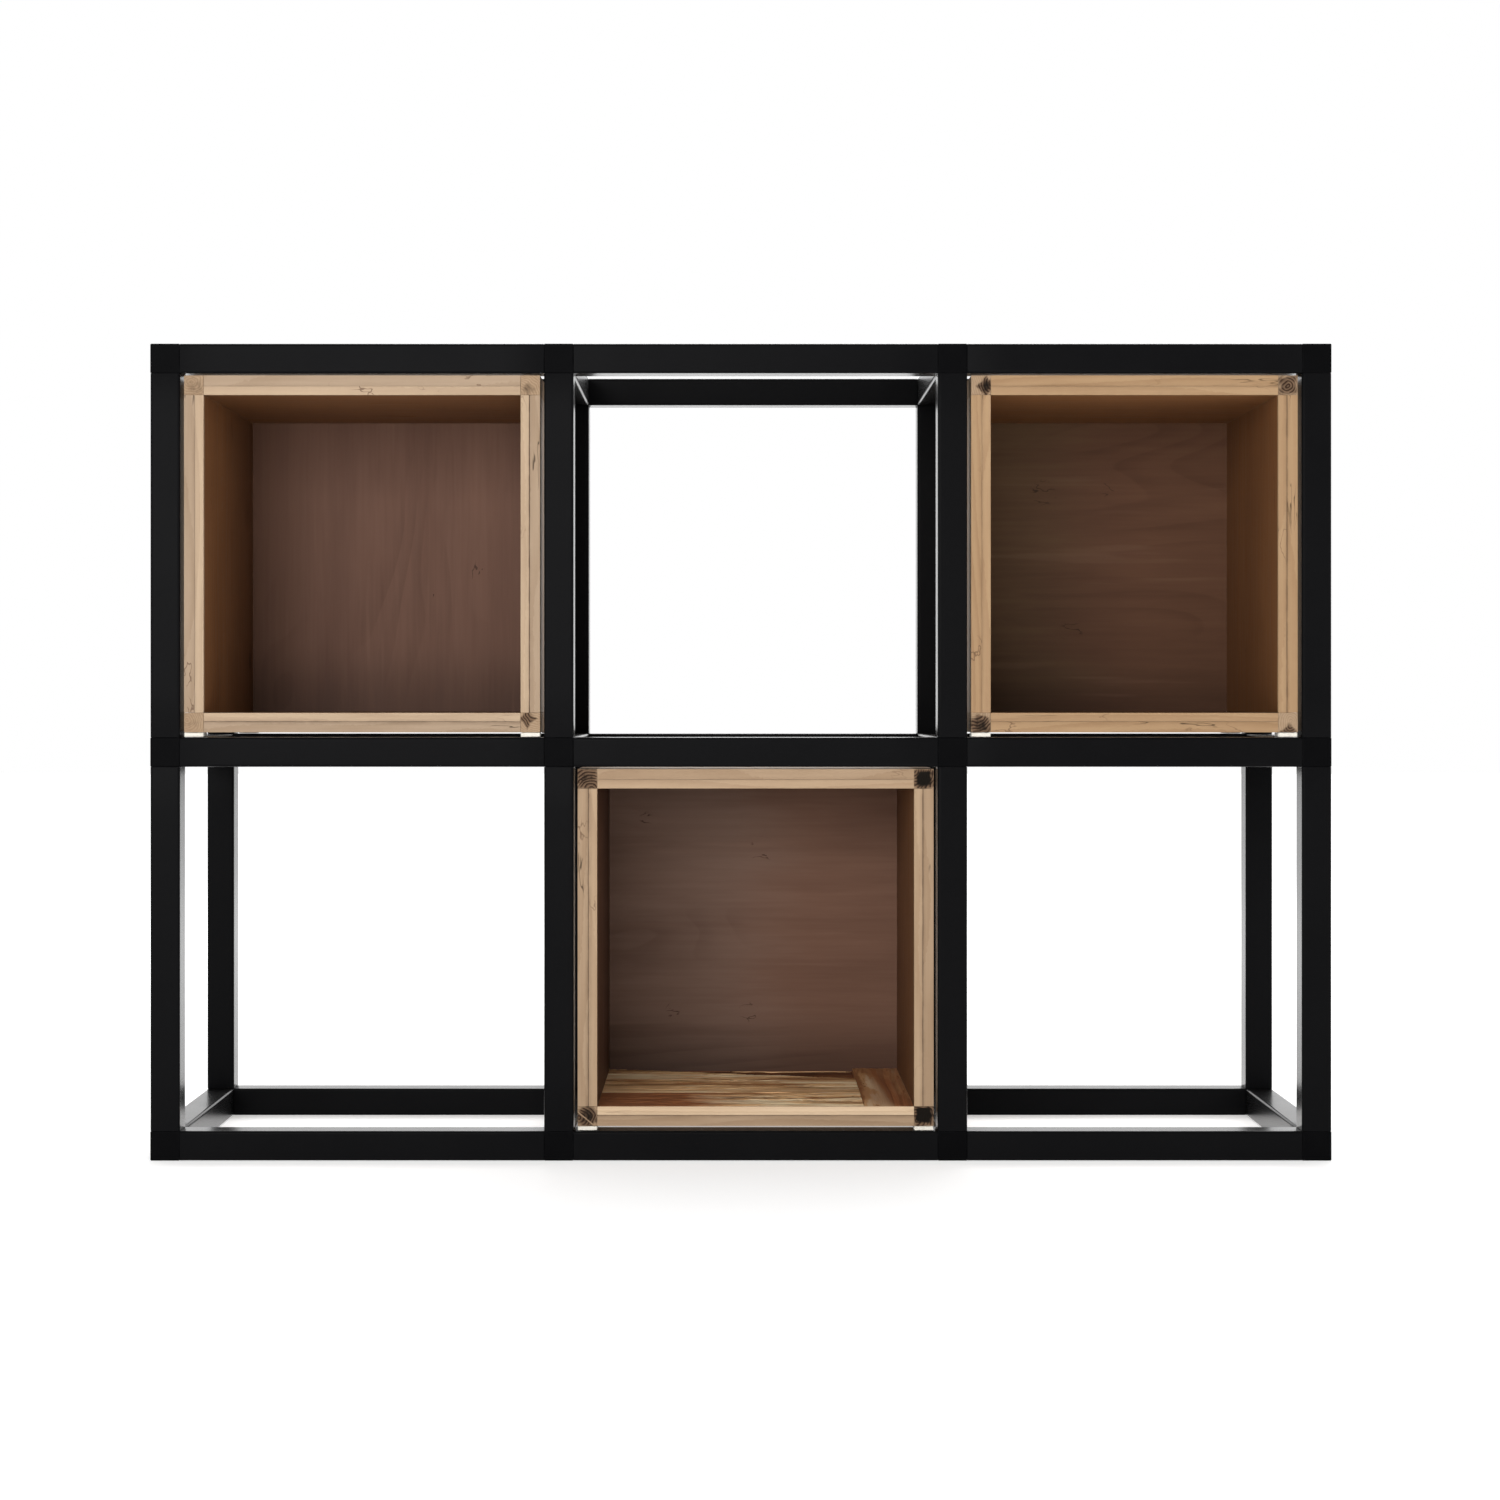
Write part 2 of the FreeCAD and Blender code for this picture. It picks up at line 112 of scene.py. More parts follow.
# Grid steps along x, y and z, the grid lines that a plain piece adds to them, and the steps round an edge.
CUBE_GRID = (0.004, 0.004, 0.004)
BOARD_GRID = (0.004, 0.009, 0.004)
POST_GRID = (0.0008, 0.012, 0.0008)
PLANK_GRID = (0.0023, 0.0015, 0.004)
FELT_GRID = (0.0008, 0.0008, 0.0006)
NO_LINES = ((), (), ())
ARC_STEPS = 3


# ---- surfaces ----


def waves(points, wavelength, seed, count=7):
    """Smooth noise of about -1 to 1: the mean of sine waves of random direction, length and phase."""
    rng = np.random.default_rng(seed)
    directions = rng.normal(size=(count, 3))
    directions /= np.linalg.norm(directions, axis=1, keepdims=True)
    lengths = wavelength * rng.uniform(0.6, 1.7, (count, 1))
    phases = rng.uniform(0, 2 * math.pi, count)
    return 1.6 * np.sin(points @ (2 * math.pi * directions / lengths).T + phases).mean(axis=1)


def side_lines(low, high, radius, spacing, extra=()):
    """Where the grid crosses one side of a box: r - r tan(angle) round each edge, then even steps."""
    rounding = radius * (1 - np.tan(np.linspace(math.pi / 4, 0, ARC_STEPS + 1)))
    support = 1.6 * radius
    steps = max(2, int(math.ceil((high - low - 2 * support) / spacing)) + 1)
    middle = np.linspace(low + support, high - support, steps)
    middle = np.unique(np.concatenate([middle, np.asarray(extra, float)]))
    return np.concatenate([low + rounding, middle, (high - rounding)[::-1]])


def eased_box(low, high, radius, spacing, extra=NO_LINES):
    """A box with rounded edges on a grid. A point p of the plain box goes to q + r (p - q) / |p - q|,
    where q is p held a radius r inside the box. Gives points, quads, normals and how edge-like each is."""
    low, high = np.asarray(low, float), np.asarray(high, float)
    lines = [side_lines(low[a], high[a], radius, spacing[a], extra[a]) for a in range(3)]
    shape = [len(line) for line in lines]
    quads = []
    ring = [(0, 0), (1, 0), (1, 1), (0, 1)]
    for axis in range(3):
        across, up = (axis + 1) % 3, (axis + 2) % 3
        cells = np.meshgrid(np.arange(shape[across] - 1), np.arange(shape[up] - 1), indexing="ij")
        j, k = (cell.ravel() for cell in cells)
        for level, order in ((0, ring[::-1]), (shape[axis] - 1, ring)):
            corners = []
            for step_j, step_k in order:
                index = [None] * 3
                index[axis] = np.full(j.shape, level)
                index[across] = j + step_j
                index[up] = k + step_k
                corners.append(np.ravel_multi_index(index, shape))
            quads.append(np.stack(corners, axis=1))
    used, quads = np.unique(np.concatenate(quads), return_inverse=True)
    place = np.unravel_index(used, shape)
    points = np.stack([lines[a][place[a]] for a in range(3)], axis=1)
    held = np.clip(points, low + radius, high - radius)
    normals = points - held
    normals /= np.linalg.norm(normals, axis=1, keepdims=True)
    edge = np.clip((1 - np.abs(normals).max(axis=1)) / (1 - math.sqrt(0.5)), 0, 1)
    return held + radius * normals, quads.reshape(-1, 4), normals, edge


def facing_out(points, quads):
    """The quads, turned over if the volume that they enclose comes out negative."""
    a, b, c, d = (points[quads[:, i]] for i in range(4))
    volume = np.einsum("ij,ij->i", a, np.cross(b, c) + np.cross(c, d)).sum()
    return quads if volume > 0 else quads[:, ::-1]


def square_ring(half, radius, steps=5, support=0.0012):
    """A square section with rounded corners: the centre of rounding and the outward direction of each
    point, so that a section d further in is centre + (radius - d) * direction."""
    centres, directions = [], []
    for turn in range(4):
        angles = turn * math.pi / 2 + np.linspace(0, math.pi / 2, steps + 1)
        corner = (half - radius) * math.sqrt(2)
        middle = turn * math.pi / 2 + math.pi / 4
        centre = corner * np.array([math.cos(middle), math.sin(middle)])
        outward = np.stack([np.cos(angles), np.sin(angles)], axis=1)
        before = centre + support * np.array([math.sin(angles[0]), -math.cos(angles[0])])
        after = centre + support * np.array([-math.sin(angles[-1]), math.cos(angles[-1])])
        centres += [before[None], np.tile(centre, (steps + 1, 1)), after[None]]
        directions += [outward[:1], outward, outward[-1:]]
    return np.concatenate(centres), np.concatenate(directions)


def hollow_bar(start, length, axis, half, radius, wall, saw=SAW_EDGE, rib=0.0, ribs=0, lead=0.0):
    """A square tube: a rounded square section carried round a closed profile of place along the tube and
    depth below its outer face. The profile runs along the outside, over a quarter-round saw edge, across
    the end, back along the bore and out over the other end. Ribs are a raised cosine on the outside,
    and a lead tapers the far end."""
    turn = np.linspace(0, math.pi / 2, 4)
    near = np.stack([saw * (1 - np.sin(turn)), saw * (1 - np.cos(turn))], axis=1)[::-1]
    far = near[::-1] * [-1, 1] + [length, 0]
    steps = np.linspace(0, 1, max(8, 8 * ribs) + 1)[1:-1]
    along = 2 * saw + (length - 4 * saw) * steps
    ripple = rib * (0.5 + 0.5 * np.cos(2 * math.pi * ribs * steps)) if ribs else 0 * steps
    taper = lead * np.clip((steps - 0.85) / 0.15, 0, 1)
    outside = np.stack([along, ripple + taper], axis=1)
    far = far + [0, lead]
    bore = np.array([[length, wall], [length * 0.5, wall], [0.0, wall]])
    profile = np.concatenate([near, outside, far, bore])
    centres, directions = square_ring(half, radius)
    flat = centres[None] + (radius - profile[:, 1])[:, None, None] * directions[None]
    local = np.concatenate([flat, np.broadcast_to(profile[:, :1, None], flat.shape[:2] + (1,))], axis=2)
    local = local.reshape(-1, 3)
    points = np.empty_like(local)
    points[:, axis] = local[:, 2]
    points[:, (axis + 1) % 3] = local[:, 0]
    points[:, (axis + 2) % 3] = local[:, 1]
    rows, columns = profile.shape[0], centres.shape[0]
    i, j = (grid.ravel() for grid in np.meshgrid(np.arange(rows), np.arange(columns), indexing="ij"))
    following_i, following_j = (i + 1) % rows, (j + 1) % columns
    quads = np.stack(
        [
            i * columns + j,
            i * columns + following_j,
            following_i * columns + following_j,
            following_i * columns + j,
        ],
        axis=1,
    )
    points = points + np.asarray(start, float)
    return points, facing_out(points, quads)


def make_object(name, surfaces, material, smooth_angle=40):
    """Joins surfaces, each a dict of points, quads and point attributes, into one mesh object."""
    counts = np.cumsum([0] + [len(s["points"]) for s in surfaces])
    points = np.concatenate([s["points"] for s in surfaces])
    quads = np.concatenate([s["quads"] + start for s, start in zip(surfaces, counts)])
    mesh = bpy.data.meshes.new(name)
    mesh.vertices.add(len(points))
    mesh.vertices.foreach_set("co", points.astype(np.float32).ravel())
    mesh.loops.add(quads.size)
    mesh.loops.foreach_set("vertex_index", quads.astype(np.int32).ravel())
    mesh.polygons.add(len(quads))
    mesh.polygons.foreach_set("loop_start", np.arange(0, quads.size, 4, dtype=np.int32))
    mesh.polygons.foreach_set("use_smooth", np.ones(len(quads), dtype=bool))
    mesh.update(calc_edges=True)
    for key in [key for key in surfaces[0] if key not in ("points", "quads")]:
        values = np.concatenate([s[key] for s in surfaces]).astype(np.float32)
        vector = values.ndim == 2
        layer = mesh.attributes.new(key, "FLOAT_VECTOR" if vector else "FLOAT", "POINT")
        layer.data.foreach_set("vector" if vector else "value", values.ravel())
    mesh.set_sharp_from_angle(angle=math.radians(smooth_angle))
    mesh.materials.append(material)
    piece = bpy.data.objects.new(name, mesh)
    bpy.context.scene.collection.objects.link(piece)
    return piece


def seat(piece, node, body):
    """The piece takes the place of a CAD node, which it hides, and moves with its body."""
    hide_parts(node)
    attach(piece, body)


# ---- shader building ----


class Graph:
    """Adds shader nodes to one tree. A value can be a socket or a plain number, vector or colour."""

    def __init__(self, tree):
        self.tree = tree

    def put(self, value, socket):
        """Links a socket to a socket, or sets its value."""
        if isinstance(value, bpy.types.NodeSocket):
            self.tree.links.new(value, socket)
        elif value is not None:
            socket.default_value = value

    def node(self, kind, **settings):
        made = self.tree.nodes.new(kind)
        for name, value in settings.items():
            setattr(made, name, value)
        return made

    def math(self, operation, *values, clamp=False):
        made = self.node("ShaderNodeMath", operation=operation, use_clamp=clamp)
        for value, socket in zip(values, made.inputs):
            self.put(value, socket)
        return made.outputs[0]

    def times(self, first, second):
        return self.math("MULTIPLY", first, second)

    def plus(self, first, second, clamp=False):
        return self.math("ADD", first, second, clamp=clamp)

    def minus(self, first, second, clamp=False):
        return self.math("SUBTRACT", first, second, clamp=clamp)

    def vector(self, operation, *values):
        made = self.node("ShaderNodeVectorMath", operation=operation)
        for value, socket in zip(values, made.inputs):
            self.put(value, socket)
        return made.outputs["Value" if operation in ("LENGTH", "DISTANCE") else "Vector"]

    def noise(self, place, scale, detail=2.0, roughness=0.5, distortion=0.0):
        made = self.node("ShaderNodeTexNoise")
        self.put(place, made.inputs["Vector"])
        for name, value in (("Scale", scale), ("Detail", detail), ("Roughness", roughness)):
            self.put(value, made.inputs[name])
        self.put(distortion, made.inputs["Distortion"])
        return made.outputs["Fac"]

    def drawn_noise(self, place, stretch, *settings):
        """Noise on a place that is stretched along each axis."""
        return self.noise(self.vector("MULTIPLY", place, stretch), 1.0, *settings)

    def cells(self, place, scale, output="Distance"):
        """Scattered cells: the distance to the nearest centre, or each cell's own random colour."""
        made = self.node("ShaderNodeTexVoronoi")
        self.put(place, made.inputs["Vector"])
        self.put(scale, made.inputs["Scale"])
        return made.outputs[output]

    def ramp(self, value, low, high, start=0.0, end=1.0):
        """Eases from start to end as the value goes from low to high."""
        made = self.node("ShaderNodeMapRange", interpolation_type="SMOOTHSTEP")
        for name, given in (("Value", value), ("From Min", low), ("From Max", high)):
            self.put(given, made.inputs[name])
        self.put(start, made.inputs["To Min"])
        self.put(end, made.inputs["To Max"])
        return made.outputs["Result"]

    def mix(self, factor, first, second, blend="MIX"):
        made = self.node("ShaderNodeMix", data_type="RGBA", blend_type=blend, clamp_factor=True)
        self.put(factor, made.inputs[0])
        self.put(first, made.inputs[6])
        self.put(second, made.inputs[7])
        return made.outputs[2]

    def split(self, value):
        made = self.node("ShaderNodeSeparateXYZ")
        self.put(value, made.inputs[0])
        return made.outputs

    def join(self, x, y, z):
        made = self.node("ShaderNodeCombineXYZ")
        for value, socket in zip((x, y, z), made.inputs):
            self.put(value, socket)
        return made.outputs[0]

    def attribute(self, name, output="Fac"):
        return self.node("ShaderNodeAttribute", attribute_name=name).outputs[output]

    def group(self, tree, **values):
        made = self.node("ShaderNodeGroup", node_tree=tree)
        for name, value in values.items():
            self.put(value, made.inputs[name.replace("_", " ").title()])
        return made.outputs


SOCKETS = {"value": "NodeSocketFloat", "vector": "NodeSocketVector"}


def shader_group(name, inputs, outputs):
    """An empty node group with its sockets: the graph, its inputs' sockets and the output node."""
    tree = bpy.data.node_groups.new(name, "ShaderNodeTree")
    for way, sockets in (("INPUT", inputs), ("OUTPUT", outputs)):
        for label, kind in sockets.items():
            tree.interface.new_socket(name=label, in_out=way, socket_type=SOCKETS[kind])
    graph = Graph(tree)
    return graph, graph.node("NodeGroupInput").outputs, graph.node("NodeGroupOutput")


def srgb(red, green, blue):
    """A linear colour from the 0 to 255 values that a screen shows."""
    parts = np.array([red, green, blue]) / 255
    linear = np.where(parts <= 0.04045, parts / 12.92, ((parts + 0.055) / 1.055) ** 2.4)
    return (*linear.tolist(), 1.0)


DUST_GREY = srgb(60, 59, 57)
MARK_BROWN = srgb(84, 58, 40)
SEAM_BROWN = srgb(62, 38, 24)
HONEY_PINE = (srgb(160, 130, 96), srgb(133, 101, 70))


def solid_wood_group():
    """Wood as a solid. Place is (along, across, through) the grain, in metres. Growth rings are circles
    round a pith that wanders along the grain, fibres are noise drawn out along it, and knots are a few
    scattered columns through the board that bend the rings round them."""
    graph, given, made = shader_group(
        "solid_wood",
        {"Place": "vector", "Ring Width": "value", "Knots": "value"},
        {"Rings": "value", "Fibre": "value", "Knot": "value", "Tone": "value"},
    )
    along, across, through = graph.split(given["Place"])[:3]
    slow = graph.join(graph.times(along, 1.6), graph.times(across, 9.0), through)
    wander = graph.noise(slow, 1.0, 2.0)
    knot_place = graph.join(graph.times(along, 0.55), across, 0.0)
    knot_near = graph.cells(knot_place, 6.5)
    knot_pick = graph.cells(knot_place, 6.5, output="Color")
    rare = graph.ramp(graph.split(knot_pick)[0], 0.62, 0.64)
    reach = graph.times(rare, given["Knots"])
    pull = graph.times(graph.ramp(knot_near, 0.16, 0.0), reach)
    pith_across = graph.plus(across, graph.times(graph.minus(wander, 0.5), 0.05))
    pith_through = graph.plus(through, graph.times(pull, 0.03))
    distance = graph.vector("LENGTH", graph.join(0.0, pith_across, pith_through))
    ripple = graph.noise(graph.join(graph.times(along, 3.0), across, through), 60.0, 2.0)
    distance = graph.plus(distance, graph.times(ripple, 0.0012))
    phase = graph.math("FRACT", graph.math("DIVIDE", distance, given["Ring Width"]))
    late = graph.times(graph.ramp(phase, 0.25, 0.88), graph.ramp(phase, 1.0, 0.93))
    graph.put(late, made.inputs["Rings"])
    stretched = graph.join(graph.times(along, 9.0), across, through)
    graph.put(graph.drawn_noise(stretched, (1.0, 260.0, 260.0), 5.0, 0.62), made.inputs["Fibre"])
    core = graph.times(graph.ramp(knot_near, 0.055, 0.025), reach)
    graph.put(core, made.inputs["Knot"])
    graph.put(graph.drawn_noise(given["Place"], (5.0, 17.0, 17.0), 3.0, 0.55), made.inputs["Tone"])
    return graph.tree


def fine_checks_group():
    """Hairline drying cracks along the grain: where a drawn-out noise crosses its middle value, and only
    in patches chosen by a slower noise."""
    graph, given, made = shader_group(
        "fine_checks", {"Place": "vector", "Amount": "value"}, {"Crack": "value"}
    )
    drawn = graph.drawn_noise(given["Place"], (7.0, 75.0, 75.0), 3.0, 0.6)
    line = graph.math("ABSOLUTE", graph.minus(drawn, 0.5))
    hair = graph.ramp(line, 0.012, 0.003)
    patch = graph.drawn_noise(given["Place"], (11.0, 30.0, 30.0), 1.0)
    limit = graph.minus(1.0, given["Amount"])
    picked = graph.ramp(graph.minus(patch, limit), 0.0, 0.06)
    graph.put(graph.times(hair, picked), made.inputs["Crack"])
    return graph.tree


def scuffs_group():
    """Handling marks: rubbed edges where the edge value and a noise are both high, and faint dust on
    faces that look up."""
    graph, given, made = shader_group(
        "scuffs", {"Place": "vector", "Edge": "value", "Dust": "value"}, {"Rubbed": "value", "Dust": "value"}
    )
    patchy = graph.noise(given["Place"], 55.0, 4.0, 0.65)
    rub = graph.times(given["Edge"], graph.ramp(patchy, 0.45, 0.7))
    graph.put(rub, made.inputs["Rubbed"])
    normal = graph.node("ShaderNodeNewGeometry").outputs["Normal"]
    upward = graph.ramp(graph.split(normal)[2], 0.6, 1.0)
    settled = graph.ramp(graph.noise(given["Place"], 24.0, 5.0, 0.7), 0.35, 0.75)
    dust = graph.times(graph.times(upward, settled), given["Dust"])
    graph.put(dust, made.inputs["Dust"])
    return graph.tree


def veneer_group():
    """Flat-cut veneer. The figure is the contour lines of a noise drawn out along the grain, which come
    and go in patches."""
    graph, given, made = shader_group(
        "flat_cut_veneer",
        {"Place": "vector"},
        {"Figure": "value", "Fibre": "value", "Tone": "value"},
    )
    hills = graph.drawn_noise(given["Place"], (1.9, 8.0, 8.0), 1.5, 0.45, 0.3)
    phase = graph.math("FRACT", graph.times(hills, 15.0))
    line = graph.times(graph.ramp(phase, 0.3, 0.9), graph.ramp(phase, 1.0, 0.92))
    patch = graph.ramp(graph.drawn_noise(given["Place"], (3.0, 7.0, 7.0), 2.0), 0.42, 0.6)
    graph.put(graph.times(line, patch), made.inputs["Figure"])
    for output, stretch, detail in (("Fibre", (8.0, 210.0, 210.0), 5.0), ("Tone", (2.5, 16.0, 16.0), 4.0)):
        graph.put(graph.drawn_noise(given["Place"], stretch, detail, 0.6), made.inputs[output])
    return graph.tree


def hair_lines_group():
    """Short hair-thin marks, where a fine noise crosses its middle value."""
    graph, given, made = shader_group("hair_lines", {"Place": "vector"}, {"Line": "value"})
    fine = graph.drawn_noise(given["Place"], (38.0, 85.0, 85.0), 2.5, 0.5)
    middle = graph.math("ABSOLUTE", graph.minus(fine, 0.5))
    graph.put(graph.ramp(middle, 0.02, 0.004), made.inputs["Line"])
    return graph.tree


def scattered_marks_group():
    """Hair lines inside scattered cells, which are short along the grain and long across it, so that
    the thin front edge of a board meets its share of them."""
    graph, given, made = shader_group("scattered_marks", {"Place": "vector"}, {"Mark": "value"})
    place = graph.vector("MULTIPLY", given["Place"], (14.0, 5.0, 5.0))
    pick = graph.split(graph.cells(place, 1.0, output="Color"))[1]
    near = graph.ramp(graph.cells(place, 1.0), 0.3, 0.15)
    inside = graph.times(near, graph.ramp(pick, 0.40, 0.42))
    line = graph.group(HAIR_LINES, place=given["Place"])["Line"]
    graph.put(graph.times(line, inside), made.inputs["Mark"])
    return graph.tree


SOLID_WOOD = solid_wood_group()
VENEER = veneer_group()
HAIR_LINES = hair_lines_group()
SCATTERED_MARKS = scattered_marks_group()
FINE_CHECKS = fine_checks_group()
SCUFFS = scuffs_group()


def new_material(name, roughness=0.5, specular=0.5):
    """A material with a Principled shader, and the graph that its nodes are added with."""
    material = bpy.data.materials.new(name)
    material.use_nodes = True
    shader = material.node_tree.nodes["Principled BSDF"]
    shader.inputs["Roughness"].default_value = roughness
    shader.inputs["Specular IOR Level"].default_value = specular
    return material, Graph(material.node_tree), shader.inputs


def bump(graph, height, distance, strength, inputs):
    """Feeds a height, in units of distance metres, to the shader's normal."""
    made = graph.node("ShaderNodeBump")
    made.inputs["Strength"].default_value = strength
    made.inputs["Distance"].default_value = distance
    graph.put(height, made.inputs["Height"])
    graph.put(made.outputs["Normal"], inputs["Normal"])


def finish_wood(graph, inputs, colour, height, roughness, distance, strength):
    """Sets a wood's colour, its roughness from low grain to high grain, and its bump."""
    graph.put(colour, inputs["Base Color"])
    graph.put(graph.ramp(height, 0.0, 0.8, *roughness), inputs["Roughness"])
    bump(graph, height, distance, strength, inputs)


def object_place(graph):
    """The place on the piece, in metres."""
    return graph.node("ShaderNodeTexCoord").outputs["Object"]


def powder_coat():
    """Satin black powder coat: orange peel in the gloss, faint blotches and a little dust. Its clear top
    layer shines more where it is seen at a low angle."""
    material, graph, inputs = new_material("satin_black_powder_coat", specular=0.015)
    facing = graph.node("ShaderNodeLayerWeight").outputs["Facing"]
    graph.put(graph.ramp(facing, 0.35, 0.9, 0.01, 1.0), inputs["Coat Weight"])
    inputs["Coat Roughness"].default_value = 0.24
    inputs["Coat IOR"].default_value = 1.35
    place = object_place(graph)
    peel = graph.noise(place, 900.0, 2.0, 0.5)
    blotch = graph.noise(place, 6.0, 4.0, 0.6)
    scuffs = graph.group(SCUFFS, place=place, edge=0.0, dust=0.5)
    colour = graph.mix(blotch, srgb(12, 12, 13), srgb(17, 17, 18))
    colour = graph.mix(graph.times(scuffs["Dust"], 0.35), colour, DUST_GREY)
    graph.put(colour, inputs["Base Color"])
    rough = graph.ramp(blotch, 0.3, 0.7, 0.33, 0.43)
    rough = graph.plus(rough, graph.times(scuffs["Dust"], 0.25))
    graph.put(rough, inputs["Roughness"])
    bump(graph, peel, 0.00012, 0.35, inputs)
    return material


def moulded_plastic():
    """Black moulded plastic with a fine spark grain, duller and darker than the coated tube."""
    material, graph, inputs = new_material("black_moulded_plastic", specular=0.015)
    place = object_place(graph)
    grain = graph.noise(place, 1600.0, 2.0, 0.6)
    blotch = graph.noise(place, 30.0, 3.0, 0.5)
    scuffs = graph.group(SCUFFS, place=place, edge=graph.attribute("edge"), dust=0.5)
    colour = graph.mix(blotch, srgb(6, 6, 7), srgb(10, 10, 11))
    colour = graph.mix(graph.times(scuffs["Rubbed"], 0.4), colour, srgb(34, 34, 36))
    colour = graph.mix(graph.times(scuffs["Dust"], 0.3), colour, DUST_GREY)
    graph.put(colour, inputs["Base Color"])
    graph.put(graph.ramp(grain, 0.3, 0.7, 0.42, 0.56), inputs["Roughness"])
    bump(graph, grain, 0.00008, 0.4, inputs)
    return material


def wood_colour(graph, place, early, late, ring_width, knots, checks, ring_share=0.55):
    """Wood from the colours of its early and late growth, the width of its rings in metres, and how much
    it has of knots and drying checks. Gives its colour, and the height that its grain stands."""
    wood = graph.group(SOLID_WOOD, place=place, ring_width=ring_width, knots=knots)
    cracks = graph.group(FINE_CHECKS, place=place, amount=checks)["Crack"]
    tone = graph.ramp(wood["Tone"], 0.25, 0.75)
    fibre = graph.ramp(wood["Fibre"], 0.3, 0.72)
    shade = graph.times(wood["Rings"], ring_share)
    shade = graph.plus(shade, graph.times(fibre, 0.22))
    shade = graph.plus(shade, graph.times(tone, 0.28), clamp=True)
    colour = graph.mix(shade, early, late)
    dark = tuple(0.22 * part for part in late[:3]) + (1.0,)
    colour = graph.mix(graph.times(wood["Knot"], 0.8), colour, dark)
    colour = graph.mix(graph.times(cracks, 0.85), colour, dark)
    height = graph.minus(graph.times(fibre, 0.5), graph.times(cracks, 2.5))
    height = graph.plus(height, graph.times(wood["Rings"], 0.35))
    return colour, height


def seam_dirt(graph, colour):
    """Darkens the seam between a board and its lining, more in some places than in others."""
    broken = graph.ramp(graph.noise(graph.attribute("grain", "Vector"), 40.0, 3.0, 0.6), 0.3, 0.6, 0.35, 0.9)
    return graph.mix(graph.times(graph.attribute("seam"), broken), colour, SEAM_BROWN)


def pine_board():
    """Pine boards from pale to honey, rubbed a little lighter along their eased edges."""
    material, graph, inputs = new_material("pale_pine", specular=0.15)
    place = graph.attribute("grain", "Vector")
    pale, height = wood_colour(graph, place, srgb(160, 139, 117), srgb(134, 111, 87), 0.0042, 1.0, 0.34, 0.3)
    honey, _ = wood_colour(graph, place, *HONEY_PINE, 0.0042, 1.0, 0.34, 0.3)
    colour = graph.mix(graph.attribute("tint_and_shade"), pale, honey)
    scuffs = graph.group(SCUFFS, place=place, edge=graph.attribute("edge"), dust=0.0)
    colour = graph.mix(graph.times(scuffs["Rubbed"], 0.4), colour, srgb(190, 174, 152))
    mark = graph.group(SCATTERED_MARKS, place=place)["Mark"]
    mark = graph.times(mark, graph.ramp(graph.attribute("front"), 0.0, 1.0, 0.07, 0.75))
    colour = graph.mix(mark, colour, MARK_BROWN)
    finish_wood(graph, inputs, seam_dirt(graph, colour), height, (0.62, 0.5), 0.0004, 0.5)
    return material


def stained_lining_with_shade():
    """Pine lining: bare on its front edge, stained brown on the face that looks into the box. The brown is
    partly
    painted shade: deeper on the walls that get less light, and towards the back of the side walls.
    """
    material, graph, inputs = new_material("stained_pine_painted_shade", specular=0.2)
    place = graph.attribute("grain", "Vector")
    pale, height = wood_colour(graph, place, srgb(176, 153, 127), srgb(148, 123, 97), 0.0046, 0.6, 0.34, 0.3)
    honey, _ = wood_colour(graph, place, *HONEY_PINE, 0.0046, 0.6, 0.34, 0.3)
    bare = graph.mix(graph.attribute("honey"), pale, honey)
    light, _ = wood_colour(graph, place, srgb(145, 99, 60), srgb(107, 68, 39), 0.0046, 0.9, 0.30, 0.35)
    shaded_stain, _ = wood_colour(graph, place, srgb(72, 46, 31), srgb(50, 31, 21), 0.0046, 0.9, 0.30, 0.35)
    # Painted shade: the per-wall value that picks the lighter or the deeper stain also stands in for how
    # little light reaches each wall.
    stain = graph.mix(graph.attribute("tint_and_shade"), light, shaded_stain)
    soak = graph.minus(graph.attribute("stain"), graph.times(height, 0.1))
    mark = graph.group(SCATTERED_MARKS, place=place)["Mark"]
    bare = graph.mix(graph.times(mark, 0.75), bare, MARK_BROWN)
    colour = graph.mix(graph.ramp(soak, 0.35, 0.6), bare, stain)
    finish_wood(graph, inputs, seam_dirt(graph, colour), height, (0.58, 0.44), 0.0004, 0.45)
    return material


def post_wood():
    """Corner posts: rings round a pith on the end grain, tan to near black by each post's share."""
    material, graph, inputs = new_material("end_grain_pine", specular=0.05)
    place = graph.attribute("grain", "Vector")
    pale, height = wood_colour(graph, place, srgb(160, 137, 112), srgb(128, 103, 79), 0.0023, 0.0, 0.4, 0.4)
    brown, _ = wood_colour(graph, place, srgb(114, 91, 71), srgb(48, 34, 26), 0.0031, 0.0, 0.5, 1.0)
    patch = graph.noise(graph.vector("MULTIPLY", place, (20.0, 1.0, 1.0)), 160.0, 3.0, 0.6)
    share = graph.plus(graph.attribute("dark"), graph.ramp(patch, 0.2, 0.8, -0.12, 0.12))
    colour = graph.mix(graph.ramp(share, 0.06, 0.62), pale, brown)
    colour = graph.mix(graph.ramp(share, 0.7, 1.15), colour, srgb(20, 16, 12))
    finish_wood(graph, inputs, colour, height, (0.75, 0.6), 0.0005, 0.6)
    return material


